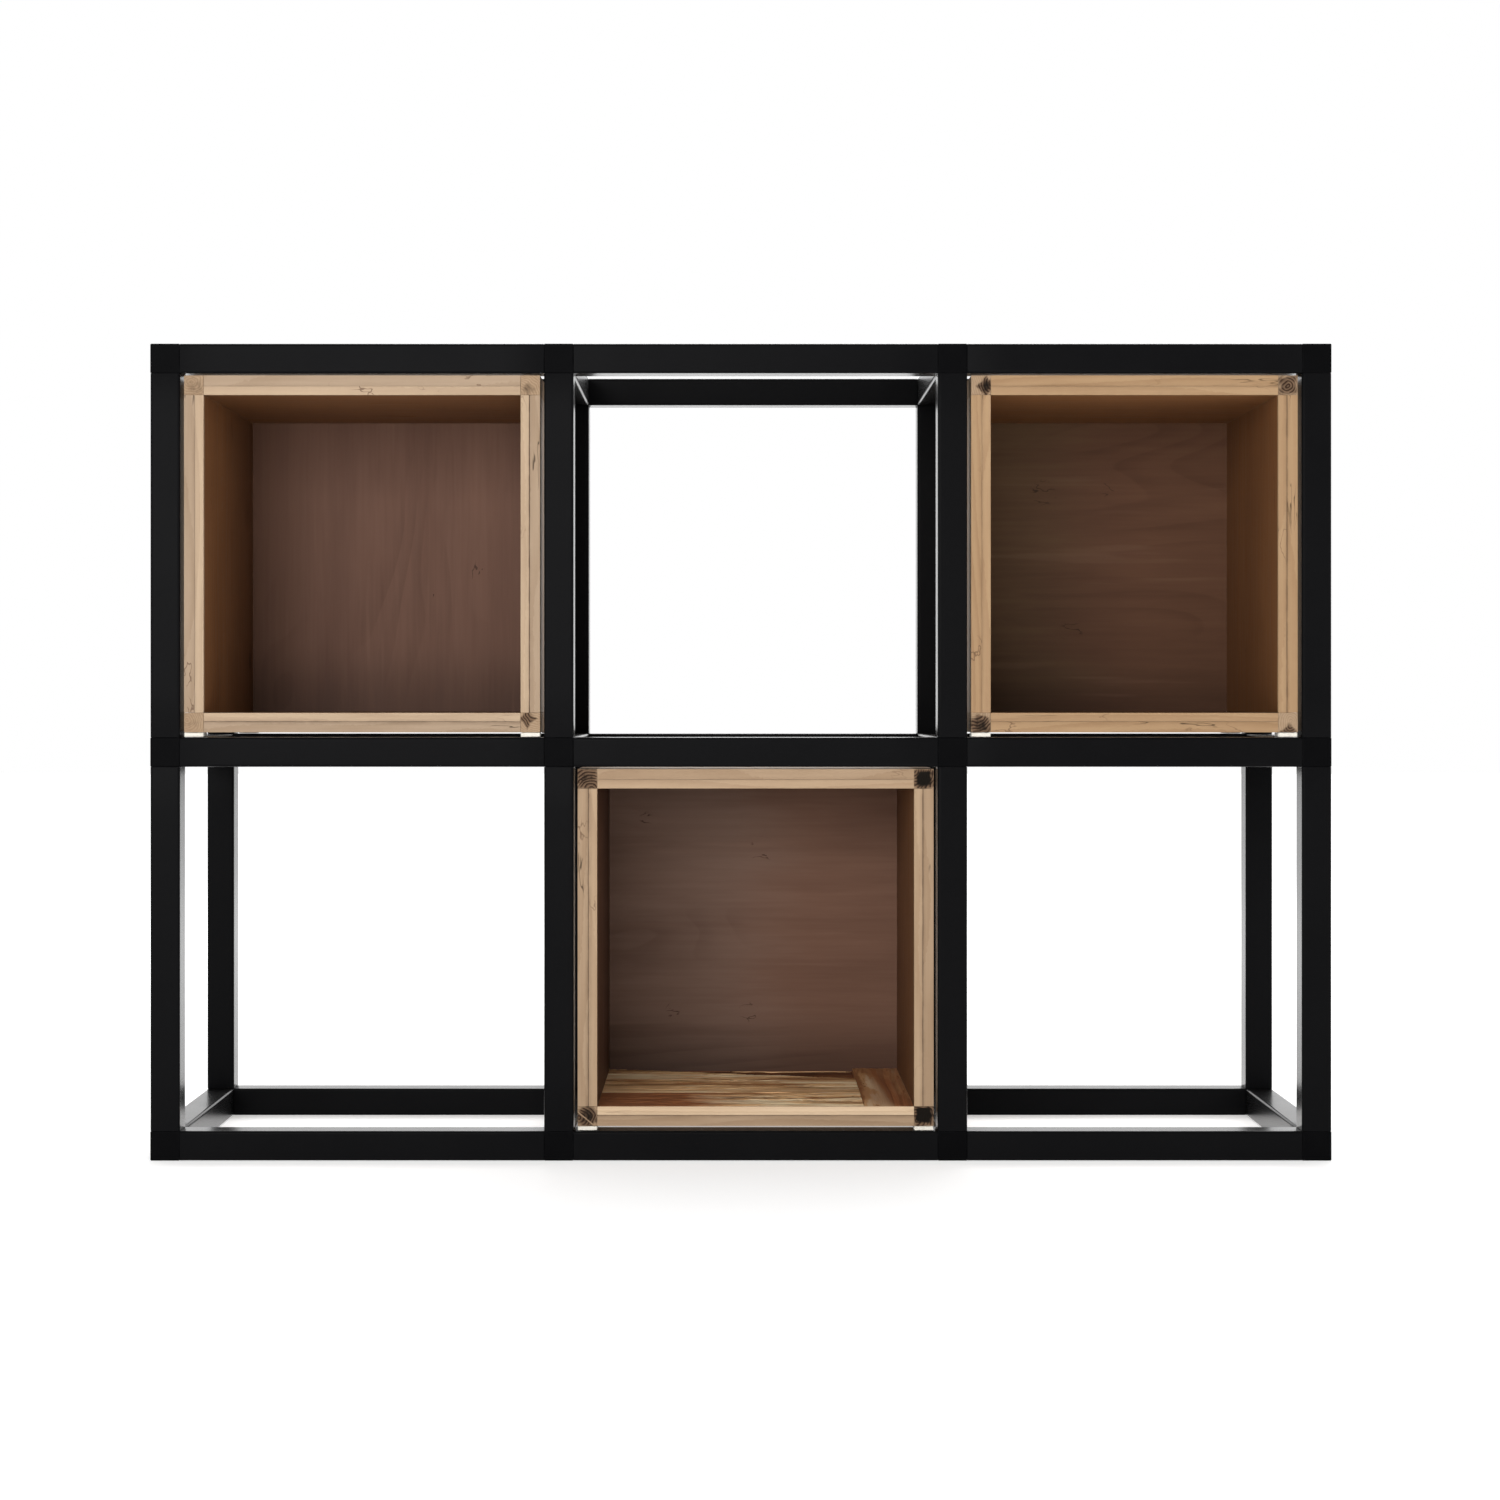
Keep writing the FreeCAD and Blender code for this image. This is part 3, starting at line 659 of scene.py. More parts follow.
def back_panel(name, upright, foot, centre, olive, red, marks):
    """Stained back panel, its grain upright or level: the olive stain to the left of a centre and the red one
    to its right, with painted shade that darkens it towards its foot, and a feather of hair lines at each
    mark."""
    material, graph, inputs = new_material(name, specular=0.1)
    x, y, z = graph.split(object_place(graph))[:3]
    place = graph.join(z, x, y) if upright else graph.join(x, z, y)
    place = graph.vector("ADD", place, (0.31, 0.11, 0.07))
    wood = graph.group(VENEER, place=place)
    drift = graph.plus(x, graph.times(graph.minus(wood["Tone"], 0.5), 0.16))
    # Where the first stain is much darker than the second, as on the left panel, the band it fills is painted
    # shadow of the box's left wall.
    base = graph.mix(graph.ramp(drift, centre - 0.06, centre + 0.07), olive, red)
    shade = graph.times(wood["Figure"], 0.25)
    shade = graph.plus(shade, graph.ramp(wood["Fibre"], 0.3, 0.72, 0.0, 0.2))
    shade = graph.plus(shade, graph.ramp(wood["Tone"], 0.3, 0.7, 0.0, 0.5), clamp=True)
    # Painted shade: the panel darkens towards its foot.
    base = graph.mix(graph.ramp(z, foot + 0.09, foot, 0.0, 0.45), base, srgb(40, 26, 18))
    colour = graph.mix(shade, base, graph.mix(1.0, base, srgb(204, 196, 192), "MULTIPLY"))
    streak = graph.drawn_noise(place, (5.0, 75.0, 75.0), 2.0, 0.5)
    colour = graph.mix(graph.ramp(streak, 0.62, 0.74, 0.0, 0.10), colour, srgb(150, 116, 96))
    line = graph.group(HAIR_LINES, place=place)["Line"]
    feathers = 0.0
    for mark_x, mark_z, reach in marks:
        offset = graph.join(graph.minus(x, mark_x), 0.0, graph.minus(z, mark_z))
        away = graph.vector("LENGTH", offset)
        feathers = graph.math("MAXIMUM", feathers, graph.ramp(away, reach, 0.5 * reach))
    feathers = graph.times(feathers, line)
    colour = graph.mix(graph.times(feathers, 0.7), colour, srgb(36, 24, 18))
    height = graph.minus(graph.times(wood["Fibre"], 0.5), feathers)
    finish_wood(graph, inputs, colour, height, (0.55, 0.42), 0.0003, 0.35)
    return material


def rustic_plank():
    """Weathered floor planks: cream and brown bands along the grain, brown by the stain value, and past 1
    nearly black, which is painted shade where a plank has fallen away and under the back panel, and bare
    smooth pine on the front edge by the bare value."""
    material, graph, inputs = new_material("weathered_plank", specular=0.25)
    place = graph.attribute("grain", "Vector")
    light, height = wood_colour(graph, place, srgb(252, 212, 160), srgb(214, 160, 104), 0.0034, 0.8, 0.5, 0.5)
    band = graph.drawn_noise(place, (5.0, 46.0, 46.0), 5.0, 0.62)
    light = graph.mix(graph.ramp(band, 0.51, 0.60, 0.0, 0.78), light, srgb(140, 84, 42))
    light = graph.mix(graph.ramp(band, 0.48, 0.40, 0.0, 0.85), light, srgb(255, 232, 190))
    brown, _ = wood_colour(graph, place, srgb(178, 114, 72), srgb(128, 76, 46), 0.0050, 0.5, 0.35, 0.5)
    stain = graph.attribute("stain")
    colour = graph.mix(stain, light, brown)
    # Painted shade: past 1 the stain value goes towards near black, used where a plank has fallen away and
    # under the back panel.
    colour = graph.mix(graph.minus(stain, 1.0, clamp=True), colour, srgb(30, 18, 12))
    colour = graph.mix(graph.ramp(graph.attribute("check"), 0.1, 1.0, 0.0, 0.8), colour, srgb(92, 56, 32))
    pine, _ = wood_colour(graph, place, srgb(206, 180, 149), srgb(178, 150, 120), 0.0046, 0.6, 0.34, 0.3)
    colour = graph.mix(graph.attribute("bare"), colour, pine)
    finish_wood(graph, inputs, seam_dirt(graph, colour), height, (0.72, 0.55), 0.0006, 0.6)
    return material


def felt():
    """Off-white felt: matted fibres that lie every way."""
    material, graph, inputs = new_material("felt", roughness=0.95, specular=0.1)
    place = object_place(graph)
    mat = graph.noise(place, 700.0, 5.0, 0.7, 1.5)
    lint = graph.noise(place, 90.0, 3.0, 0.6)
    colour = graph.mix(mat, srgb(196, 190, 178), srgb(240, 236, 226))
    colour = graph.mix(graph.ramp(lint, 0.5, 0.8, 0.0, 0.35), colour, srgb(170, 160, 144))
    graph.put(colour, inputs["Base Color"])
    inputs["Sheen Weight"].default_value = 0.4
    bump(graph, mat, 0.0006, 0.8, inputs)
    return material


def dowel_wood():
    """Beech dowels, seen only when a box is taken apart."""
    material, graph, inputs = new_material("beech", specular=0.3)
    early, late = srgb(222, 184, 140), srgb(190, 148, 104)
    colour, height = wood_colour(graph, object_place(graph), early, late, 0.0016, 0.0, 0.2)
    graph.put(colour, inputs["Base Color"])
    bump(graph, height, 0.0002, 0.4, inputs)
    return material


COAT = powder_coat()
PLASTIC = moulded_plastic()
PINE = pine_board()
LINING = stained_lining_with_shade()
POST = post_wood()
PLANK = rustic_plank()
FELT = felt()
BEECH = dowel_wood()

# ---- frame ----


def middle_of(node, axis):
    """The middle of a CAD node's box along an axis."""
    low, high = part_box(node)
    return (low[axis] + high[axis]) / 2


column_x = [middle_of(f"front_upright_{column}", 0) for column in COLUMNS]
row_z = [middle_of(f"front_rail_{row}", 2) for row in ROWS]
plane_y = {plane: middle_of(f"{plane}_rail_top", 1) for plane in PLANES}
upright_low, upright_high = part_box("front_upright_left")
half_tube = (upright_high[0] - upright_low[0]) / 2
spigot_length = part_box("front_corner_connectors")[1][1] - plane_y["front"] - half_tube
spigot_half = half_tube - TUBE_WALL - SPIGOT_PLAY


def tube(start, end, axis):
    """One tube between two cube faces."""
    points, quads = hollow_bar(start, end[axis] - start[axis], axis, half_tube, TUBE_CORNER, TUBE_WALL)
    return {"points": points, "quads": quads}


def span(position, axis, low, high):
    """The two ends of a tube that runs along an axis, from cube face to cube face."""
    start, end = list(position), list(position)
    start[axis], end[axis] = low + half_tube, high - half_tube
    return start, end, axis


for plane in PLANES:
    y = plane_y[plane]
    for column, x in zip(COLUMNS, column_x):
        runs = [tube(*span((x, y, 0), 2, low, high)) for low, high in zip(row_z, row_z[1:])]
        node = f"{plane}_upright_{column}"
        seat(make_object(f"{node}_tubes", runs, COAT), node, "frame")
    for row, z in zip(ROWS, row_z):
        runs = [tube(*span((0, y, z), 0, low, high)) for low, high in zip(column_x, column_x[1:])]
        node = f"{plane}_rail_{row}"
        seat(make_object(f"{node}_tubes", runs, COAT), node, "frame")
for column, x in zip(COLUMNS, column_x):
    runs = [tube(*span((x, 0, z), 1, plane_y["front"], plane_y["back"])) for z in row_z]
    node = f"depth_tubes_{column}"
    seat(make_object(f"{node}_coated", runs, COAT), node, "frame")


def connector(x, y, z, arms):
    """A moulded cube with rounded edges and, inside the tubes, a ribbed hollow spigot for each arm."""
    centre = np.array([x, y, z])
    half = half_tube - CUBE_INSET
    points, quads, _, edge = eased_box(centre - half, centre + half, CUBE_EDGE, CUBE_GRID)
    surfaces = [{"points": points, "quads": quads, "edge": edge}]
    for axis, way in arms:
        root = centre.copy()
        root[axis] += way * (half_tube - SPIGOT_ROOT)
        bar, faces = hollow_bar(
            (0, 0, 0), spigot_length + SPIGOT_ROOT, axis, spigot_half, SPIGOT_CORNER, SPIGOT_WALL,
            rib=SPIGOT_RIB, ribs=SPIGOT_RIBS, lead=SPIGOT_LEAD,
        )
        bar[:, axis] *= way
        bar = bar + root
        surfaces.append({"points": bar, "quads": facing_out(bar, faces), "edge": np.zeros(len(bar))})
    return surfaces


KINDS = {3: "corner", 4: "tee", 5: "cross"}
for plane, inward in (("front", 1), ("back", -1)):
    made = {kind: [] for kind in KINDS.values()}
    for i, x in enumerate(column_x):
        for j, z in enumerate(row_z):
            arms = [(1, inward)]
            arms += [(0, way) for way in (-1, 1) if 0 <= i + way < len(column_x)]
            arms += [(2, way) for way in (-1, 1) if 0 <= j + way < len(row_z)]
            made[KINDS[len(arms)]] += connector(x, plane_y[plane], z, arms)
    for kind, surfaces in made.items():
        node = f"{plane}_{kind}_connectors"
        seat(make_object(f"{node}_moulded", surfaces, PLASTIC), node, "frame")

# ---- boxes ----


def grain_place(points, axis, thin_axis, seed):
    """Each point as (along, across, through) the grain, shifted so that every board is its own timber."""
    across = 3 - axis - thin_axis
    place = np.stack([points[:, axis], points[:, across], points[:, thin_axis]], axis=1)
    place -= place.mean(axis=0)
    rng = np.random.default_rng(seed)
    shift = np.array([rng.uniform(-3, 3), rng.uniform(-0.12, 0.12), rng.uniform(0.02, 0.07)])
    return place + shift


def worn_board(
    low, high, axis, thin_axis, seed, ease=BOARD_EASE, chips=BOARD_CHIPS, grid=BOARD_GRID, extra=NO_LINES
):
    """A sawn board: an eased box that bows a little inwards by a slow noise, with its edges chipped where
    a finer noise runs high. Its grain runs along one axis, and another is its thickness."""
    low = np.asarray(low, float) + PIECE_INSET
    high = np.asarray(high, float) - PIECE_INSET
    points, quads, normals, edge = eased_box(low, high, ease, grid, extra)
    grain = grain_place(points, axis, thin_axis, seed)
    bow = BOARD_BOW * (waves(points, 0.16, seed) - 1)
    chip = chips * edge * np.clip(waves(points, 0.022, seed + 1) - 0.45, 0, 1)
    nick = 0.5 * chips * edge * np.clip(waves(points, 0.007, seed + 2) - 0.5, 0, 1)
    points = points + normals * (bow - chip - nick)[:, None]
    return {"points": points, "quads": quads, "grain": grain, "edge": edge}


# How dark the seam is on the bottom, top, left and right walls of each box.
SEAMS = {"left": (0.55, 0.05, 0.15, 1.0), "middle": (0.5, 0.15, 0.75, 0.9), "right": (0.15, 0.2, 0.2, 0.95)}


def seam_share(points, low, high, box, wall, lined):
    """The seam's strength by a board's inner face, or by a lining's outer face, where the board is lined
    or not: it fades to 0 from half a seam's width to one and a half."""
    strength = SEAMS[box][WALLS.index(wall)]
    thin = 2 if wall in ("bottom", "top") else 0
    toward_high = (wall in ("bottom", "left")) == lined
    face = high[thin] - PIECE_INSET if toward_high else low[thin] + PIECE_INSET
    return strength * np.clip(1.5 - np.abs(points[:, thin] - face) / SEAM_WIDTH, 0, 1)


def seam_ease(box, wall):
    """How far a board's edges are rounded: less where its seam hardly shows."""
    return BOARD_EASE * (0.3 + 0.7 * SEAMS[box][WALLS.index(wall)])


def wall_axes(wall):
    """The axis that a wall's grain follows, and the axis of its thickness."""
    return (0, 2) if wall in ("bottom", "top") else (2, 0)


def press_groove(surface, node, wall, panel):
    """Sinks the back panel's groove into a lining: within the groove's width, the thickness shrinks
    towards the outer face by the groove's depth."""
    thin = wall_axes(wall)[1]
    low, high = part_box(node)
    outer = low[thin] if wall in ("bottom", "left") else high[thin]
    thickness = high[thin] - low[thin]
    near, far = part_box(panel)
    points = surface["points"]
    margin = 1.5 * GROOVE_STEP
    inside = (points[:, 1] > near[1] - margin) & (points[:, 1] < far[1] + margin)
    share = np.where(inside, 1 - GROOVE_DEPTH / thickness, 1.0)
    points[:, thin] = outer + (points[:, thin] - outer) * share
    return surface


def groove_lines(panel):
    """Grid lines one and two steps outside the panel, so that each wall of the groove is a step thick."""
    near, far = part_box(panel)
    return [near[1] - 2 * GROOVE_STEP, near[1] - GROOVE_STEP, far[1] + GROOVE_STEP, far[1] + 2 * GROOVE_STEP]


def behind_edge(points, front):
    """0 on a board's front edge, rising to 1 between 0.6 and 1.8 millimetres behind it."""
    return np.clip((points[:, 1] - front - 0.0006) / 0.0012, 0, 1)


# How deep the stain is on the bottom, top, left and right walls, partly painted shade for the walls that get
# less light, how much deeper painted shade makes it at the back of the two sides, and how honey-coloured the
# pine is.
STAIN_AND_SHADE_DEPTH = {
    "left": (0.37, 0.37, 0.2, 0.3),
    "middle": (0.58, 0.62, 0.9, 0.5),
    "right": (0.42, 0.15, 0.42, 0.3),
}
SHADE_RISE = {"left": 0.5, "middle": 0.1, "right": 0.15}
HONEY = {"left": 0.0, "middle": 0.35, "right": 0.9}


def lining(box, wall, seed):
    """One lining board with its groove, its stain with painted shade, and its bare front edge."""
    node = f"{box}_box_{wall}_lining"
    panel = f"{box}_box_back_panel"
    low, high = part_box(node)
    extra = ((), groove_lines(panel), ())
    surface = worn_board(low, high, *wall_axes(wall), seed, seam_ease(box, wall), LINING_CHIPS, extra=extra)
    surface["stain"] = behind_edge(surface["points"], low[1])
    surface["seam"] = seam_share(surface["points"], low, high, box, wall, False)
    inward = (surface["points"][:, 1] - low[1]) / (high[1] - low[1])
    # Painted shade: the side walls grow darker towards the back of the box.
    back_shade = SHADE_RISE[box] if wall in ("left", "right") else 0
    surface["tint_and_shade"] = STAIN_AND_SHADE_DEPTH[box][WALLS.index(wall)] + back_shade * inward
    surface["honey"] = np.full(len(inward), HONEY[box])
    press_groove(surface, node, wall, panel)
    seat(make_object(f"{node}_board", [surface], LINING), node, f"{box}_box")


def drying_cracks(points, low, high, seed, count=34):
    """Cracks along X in a top face: each a wavy line that fades out at its ends. Gives 0 to 1."""
    rng = np.random.default_rng(seed)
    size = high - low
    middle_x = low[0] + size[0] * rng.uniform(0.2, 1, count)
    middle_y = low[1] + size[1] * rng.uniform(0.02, 0.98, count)
    reach = rng.uniform(0.02, 0.11, count)
    width = rng.uniform(0.0008, 0.0028, count)
    phase = rng.uniform(0, 2 * math.pi, count)
    run = points[:, :1] - middle_x
    line = middle_y + 0.003 * np.sin(run / 0.021 + phase) + 0.0012 * np.sin(run / 0.006 + 2 * phase)
    fade = np.clip(1 - (run / reach) ** 2, 0, 1)
    depth = np.exp(-(((points[:, 1:2] - line) / width) ** 2)) * fade
    return depth.max(axis=1)


def floor_plank(low, high, seed, stain, axis=0, rough=1.0, sunk=None):
    """A weathered plank whose top face is lowered by drying cracks and a slow unevenness, and where sunk
    gives a share of 1 it has fallen away and is painted nearly black as shade."""
    surface = worn_board(low, high, axis, 2, seed, chips=PLANK_CHIPS, grid=PLANK_GRID)
    points = surface["points"]
    top = np.clip((points[:, 2] - high[2] + 0.0012) / 0.0008, 0, 1)
    check = drying_cracks(points, np.array(low), np.array(high), seed) * rough * top
    sag = PLANK_SAG * rough * (1 + waves(points, 0.05, seed + 3)) * top
    fallen = sunk(points) * top if sunk else 0 * top
    surface["check"] = check
    # Painted shade: the fallen part's value is pushed past 1, towards near black.
    surface["stain"] = stain(points) + FALLEN_SHADE * fallen
    surface["bare"] = 0 * top
    surface["seam"] = 0 * top
    points[:, 2] -= PLANK_CRACK * check + sag + PLANK_FALL * fallen
    return surface


def planked_floor(box):
    """The middle box's floor: a bare lip along the front, a front and a rear plank whose far edge runs
    askew, one at the right, and a strip behind the panel."""
    node = f"{box}_box_bottom_lining"
    low, high = (np.array(corner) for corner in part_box(node))
    panel = f"{box}_box_back_panel"
    panel_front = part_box(panel)[0][1]
    side_start = high[0] - PLANK_SIDE_WIDTH
    rear_start = low[1] + PLANK_FRONT_DEPTH
    drawn = np.array([0.3, 1.0, 1.0])
    side_drawn = np.array([1.0, 0.2, 1.0])

    def front_darkening(points):
        """Brown at the left, fading out raggedly to the right."""
        ragged = 0.35 * waves(points * drawn, 0.012, 91, 14)
        # Up to 1.2 at the front left, a little past brown towards near black.
        return 1.2 * np.clip(1.7 - (points[:, 0] - low[0]) / BROWN_REACH + ragged, 0, 1)

    def stain_rear(points):
        """Hardly stained, in patches."""
        return 0.15 * np.clip(waves(points * drawn, 0.02, 92, 14), 0, 1)

    def behind_skew_edge(points):
        """1 behind a line that runs forward from near the back left corner, by the skew at its right."""
        line = panel_front - SKEW_GAP - SKEW * (points[:, 0] - low[0]) / (side_start - low[0])
        line = line + 0.0015 * waves(points, 0.03, 93)
        return np.clip((points[:, 1] - line) / 0.0015, 0, 1)

    def side_stain_and_sheen(points):
        """Brown with a painted sheen that makes it paler to the left."""
        across = (points[:, 0] - side_start) / PLANK_SIDE_WIDTH
        return np.clip(0.45 + 0.5 * across + 0.3 * waves(points * side_drawn, 0.025, 94), 0, 1)

    gap = PLANK_JOINT / 2
    lip_back = low[1] + LIP_DEPTH
    front_low, front_high = [low[0], lip_back + gap, low[2]], [side_start - gap, rear_start - gap, high[2]]
    rear_low, rear_high = [low[0], rear_start + gap, low[2]], [side_start - gap, panel_front, high[2]]
    side_low, side_high = [side_start + gap, lip_back + gap, low[2]], [high[0], panel_front, high[2]]
    strip_low = [low[0], panel_front, low[2]]
    planks = [
        floor_plank(front_low, front_high, 31, front_darkening),
        floor_plank(rear_low, rear_high, 32, stain_rear, sunk=behind_skew_edge),
        floor_plank(side_low, side_high, 33, side_stain_and_sheen, 1, 0.15),
    ]
    strip = worn_board(strip_low, high, 0, 2, 34, extra=((), groove_lines(panel)[2:], ()))
    press_groove(strip, node, "bottom", panel)
    lip = worn_board(low, [high[0], lip_back, high[2]], 0, 2, 35, chips=LINING_CHIPS)
    # Painted shade: the strip under the back panel gets 1.5, halfway from brown to near black.
    for board, stain, bare in ((strip, 1.5, 0), (lip, 0, 1)):
        for key, value in (("check", 0), ("stain", stain), ("bare", bare), ("seam", 0)):
            board[key] = np.full(len(board["points"]), value)
    lip["seam"] = seam_share(lip["points"], low, high, box, "bottom", False)
    seat(make_object(f"{node}_planks", planks + [strip, lip], PLANK), node, f"{box}_box")


# Each post's dark heart: its share, the power of its p-norm, its reach and its offset in x and z, for the
# bottom left, top left, bottom right and top right posts. A power below 1 gives a star, 1 a diamond, 2 a
# circle and more a square.
HEARTS = {
    "left": [
        (0.12, 8, 0.011, 0.0, 0.0),
        (0.22, 8, 0.011, 0.0, 0.0),
        (0.80, 0.6, 0.013, -0.003, 0.004),
        (0.35, 0.7, 0.010, -0.002, -0.004),
    ],
    "middle": [
        (0.95, 2, 0.0105, 0.0, 0.0),
        (0.90, 6, 0.0105, 0.0, 0.0),
        (1.40, 4, 0.0100, 0.000, 0.001),
        (1.30, 4, 0.0098, 0.000, 0.000),
    ],
    "right": [
        (0.95, 3, 0.0100, 0.0, -0.003),
        (1.05, 1, 0.0095, 0.005, -0.001),
        (0.80, 1, 0.0085, 0.001, -0.009),
        (0.60, 8, 0.0105, 0.0, 0.0),
    ],
}

# The post whose heart is crossed by a light scratch.
SCRATCHED = ("middle", 0)


def heart(points, centre, front, box, number):
    """Share times exp(-(r / reach)^4), where r is the p-norm distance from the heart in x and z. It
    fades out between 20 and 60 millimetres behind the front end."""
    share, power, reach, shift_x, shift_z = HEARTS[box][number]
    x = np.abs(points[:, 0] - centre[0] - shift_x)
    z = np.abs(points[:, 2] - centre[1] - shift_z)
    radius = (x**power + z**power) ** (1 / power) / reach
    radius = radius * (1 + 0.12 * waves(points, 0.006, 50 + number))
    dark = share * np.exp(-(radius**4)) * np.clip(1.5 - (points[:, 1] - front) / 0.040, 0, 1)
    if (box, number) == SCRATCHED:
        slope = points[:, 0] - centre[0] + 1.2 * (points[:, 2] - centre[1]) + 0.0045
        dark = dark - 1.2 * np.exp(-((slope / 0.0009) ** 2)) * dark
    return dark


def corner_posts(box, seed):
    """The four posts of a box, each its own piece of timber with its pith in or near it."""
    node = f"{box}_box_corner_posts"
    low, high = (np.array(corner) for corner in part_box(node))
    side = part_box(f"{box}_box_left_board")[0][2] - low[2]
    surfaces = []
    places = [(x, z) for x in (low[0], high[0] - side) for z in (low[2], high[2] - side)]
    for number, (x, z) in enumerate(places):
        corner = np.array([x, low[1], z])
        far = np.array([x + side, high[1], z + side])
        surface = worn_board(corner, far, 1, 2, seed + number, POST_EASE, POST_CHIPS, POST_GRID)
        points = surface["points"]
        rng = np.random.default_rng(seed + number)
        stray = 0.002 if (box, number) == SCRATCHED else 0.014
        pith = rng.uniform(-stray, stray, 2)
        centre = (x + side / 2, z + side / 2)
        across = points[:, 0] - centre[0] - pith[0] + 0.0011 * waves(points, 0.011, seed + 40)
        through = points[:, 2] - centre[1] - pith[1] + 0.0011 * waves(points, 0.011, seed + 41)
        surface["grain"] = np.stack([points[:, 1] + 3 * rng.uniform(-1, 1), across, through], axis=1)
        surface["dark"] = heart(points, centre, low[1], box, number)
        surfaces.append(surface)
    seat(make_object(f"{node}_timber", surfaces, POST), node, f"{box}_box")


def felt_glides(box, seed):
    """Four felt squares with rounded sides, roughened inwards by a fine noise."""
    node = f"{box}_box_felt_glides"
    low, high = (np.array(corner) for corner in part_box(node))
    surfaces = []
    for x in (low[0], high[0] - GLIDE_SIDE):
        for y in (low[1], high[1] - GLIDE_SIDE):
            corner = np.array([x, y, low[2]])
            far = np.array([x + GLIDE_SIDE, y + GLIDE_SIDE, high[2]])
            points, quads, normals, _ = eased_box(corner, far, GLIDE_ROUND, FELT_GRID)
            points = points + normals * (GLIDE_FLUFF * (waves(points, 0.003, seed) - 1))[:, None]
            surfaces.append({"points": points, "quads": quads})
            seed += 1
    seat(make_object(f"{node}_felt", surfaces, FELT), node, f"{box}_box")


# The lower edges of the upper and lower back panels.
upper_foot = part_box("left_box_back_panel")[0][2]
lower_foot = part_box("middle_box_back_panel")[0][2]

# Each back panel: whether its grain is upright, its lower edge, the x where its first stain gives way to
# its second, the two stains and its marks, each mark as x, z and reach.
PANELS = {
    # The left panel's first stain is much darker and fills a narrow band along its left side: painted shadow
    # of the box's left wall.
    "left": back_panel(
        "panel_upright_grain", True, upper_foot, -0.545, srgb(81, 54, 35), srgb(115, 84, 69),
        [(-0.290, 0.612, 0.015), (-0.345, 0.590, 0.008)],
    ),
    "middle": back_panel(
        "panel_level_grain", False, lower_foot, 0.02, srgb(121, 95, 81), srgb(121, 89, 72),
        [(0.025, 0.300, 0.017), (-0.075, 0.120, 0.010), (0.010, 0.118, 0.013), (-0.105, 0.335, 0.009)],
    ),
    "right": back_panel(
        "panel_dark_level_grain", False, upper_foot, 0.36, srgb(102, 77, 54), srgb(101, 70, 51),
        [(0.340, 0.700, 0.017), (0.412, 0.704, 0.010), (0.372, 0.545, 0.015)],
    ),
}


# The one wall whose lining is a planked floor.
PLANKED = ("middle", "bottom")


def dress_cad_node(node, material):
    """Gives a CAD node that keeps its own mesh its finished material."""
    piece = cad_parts[node]
    piece.data.materials.clear()
    piece.data.materials.append(material)


for number, box in enumerate(BOXES):
    seed = 100 * (number + 1)
    for wall in WALLS:
        seed += 7
        node = f"{box}_box_{wall}_board"
        board = worn_board(*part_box(node), *wall_axes(wall), seed, seam_ease(box, wall))
        board["seam"] = seam_share(board["points"], *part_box(node), box, wall, True)
        board["tint_and_shade"] = np.full(len(board["points"]), HONEY[box])
        board["front"] = 1 - behind_edge(board["points"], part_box(node)[0][1])
        seat(make_object(f"{node}_pine", [board], PINE), node, f"{box}_box")
        if (box, wall) == PLANKED:
            planked_floor(box)
        else:
            lining(box, wall, seed + 3)
    corner_posts(box, seed + 11)
    felt_glides(box, seed + 31)
    dress_cad_node(f"{box}_box_back_panel", PANELS[box])
    dress_cad_node(f"{box}_box_dowels", BEECH)

# ---- stage, light and camera ----


def stage_floor():
    """A plain pale floor that glows more further out, so that it meets the white studio without an edge."""
    material, graph, inputs = new_material("pale_floor", roughness=0.85, specular=0.1)
    place = object_place(graph)
    inputs["Emission Color"].default_value = (1, 1, 1, 1)
    graph.put(graph.ramp(graph.vector("LENGTH", place), 0.6, 3.0, 0.40, 0.6), inputs["Emission Strength"])
    colour = graph.mix(graph.noise(place, 3.0, 2.0), srgb(246, 246, 246), srgb(250, 250, 250))
    graph.put(colour, inputs["Base Color"])
    half = 14.0
    corners = [(-half, -half, 0), (half, -half, 0), (half, half, 0), (-half, half, 0)]
    mesh = bpy.data.meshes.new("floor")
    mesh.from_pydata(corners, [], [(0, 1, 2, 3)])
    mesh.materials.append(material)
    floor = bpy.data.objects.new("floor", mesh)
    bpy.context.scene.collection.objects.link(floor)


UNIT_MIDDLE = (0, 0, 0.4)


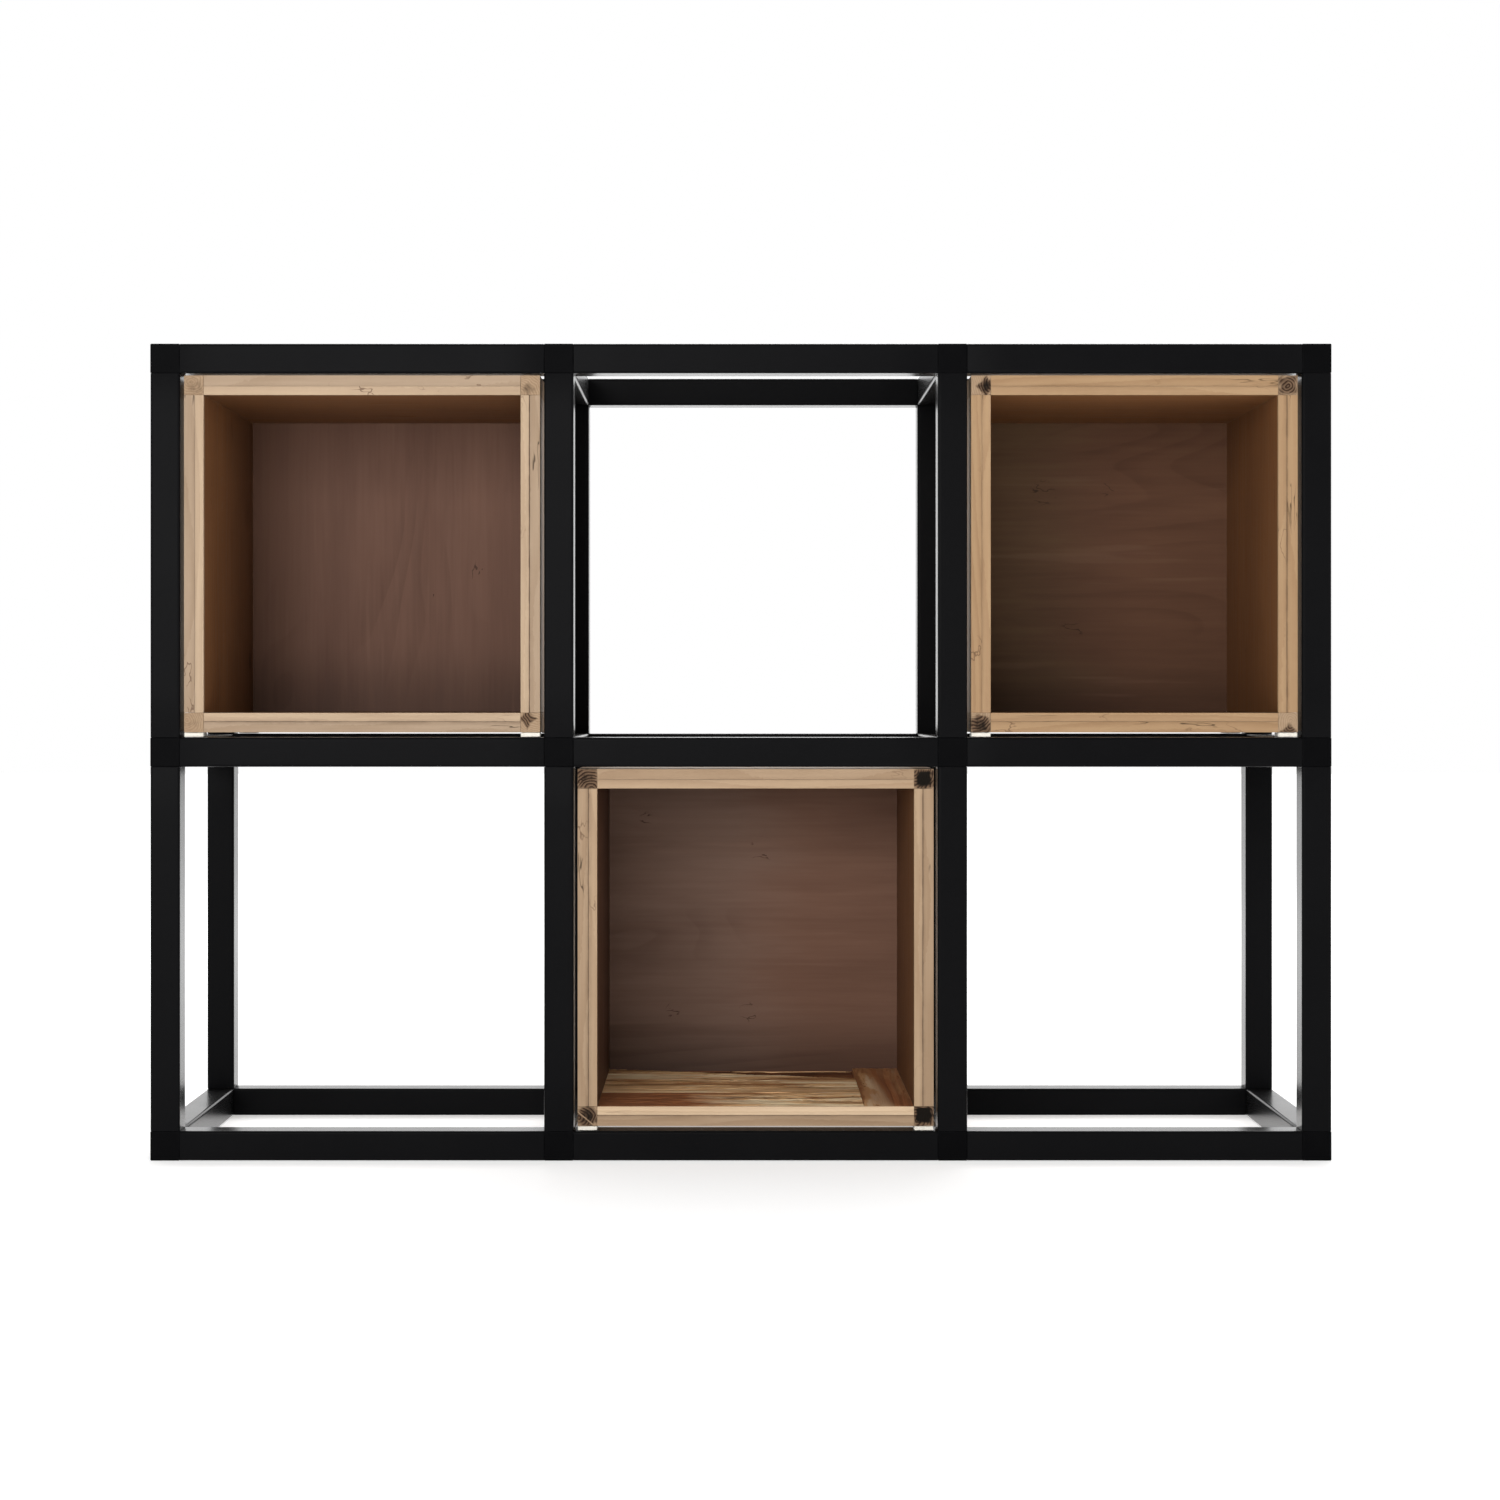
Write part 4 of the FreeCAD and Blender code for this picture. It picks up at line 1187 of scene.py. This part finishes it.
def soft_light(name, place, size, power):
    """A large white area light that looks from its place to the middle of the unit."""
    data = bpy.data.lights.new(name, "AREA")
    data.shape = "RECTANGLE"
    data.size, data.size_y = size
    data.energy = power
    light = bpy.data.objects.new(name, data)
    bpy.context.scene.collection.objects.link(light)
    light.location = place
    way = Vector(UNIT_MIDDLE) - Vector(place)
    light.rotation_euler = way.to_track_quat("-Z", "Y").to_euler()


def studio_sky():
    """A white studio: the camera sees white, and light comes mostly from behind and above the unit."""
    world = bpy.data.worlds.new("studio")
    bpy.context.scene.world = world
    world.use_nodes = True
    graph = Graph(world.node_tree)
    background = world.node_tree.nodes["Background"]
    direction = graph.split(graph.node("ShaderNodeTexCoord").outputs["Generated"])
    behind = graph.ramp(direction[1], -0.1, 0.7, 0.10, 1.1)
    above = graph.ramp(direction[2], -0.2, 0.9, 0.0, 0.35)
    level = graph.plus(behind, above)
    seen = graph.node("ShaderNodeLightPath").outputs["Is Camera Ray"]
    strength = graph.plus(graph.times(graph.minus(1.0, seen), level), seen)
    background.inputs["Color"].default_value = (1, 1, 1, 1)
    graph.put(strength, background.inputs["Strength"])


EYE_DISTANCE = 2.746
EYE_X = -0.011
EYE_Z = 0.469
LENS_MM = 64.9
SHIFT = (0.0133, -0.034)


def eye():
    """A level camera in front of the unit, a little to the left of its middle."""
    data = bpy.data.cameras.new("eye")
    data.sensor_width = 36
    data.lens = LENS_MM
    data.shift_x, data.shift_y = SHIFT
    camera = bpy.data.objects.new("eye", data)
    bpy.context.scene.collection.objects.link(camera)
    camera.location = (EYE_X, cad_bounds[0][1] - EYE_DISTANCE, EYE_Z)
    camera.rotation_euler = (math.pi / 2, 0, 0)
    bpy.context.scene.camera = camera


stage_floor()
soft_light("key", (-1.0, -3.7, 1.12), (2.2, 1.5), 87)
soft_light("fill", (3.3, -2.6, 1.3), (1.8, 1.6), 34)
soft_light("back", (0.5, 2.8, 2.6), (2.6, 1.6), 60)
studio_sky()
eye()
bpy.context.scene.view_settings.view_transform = "Standard"
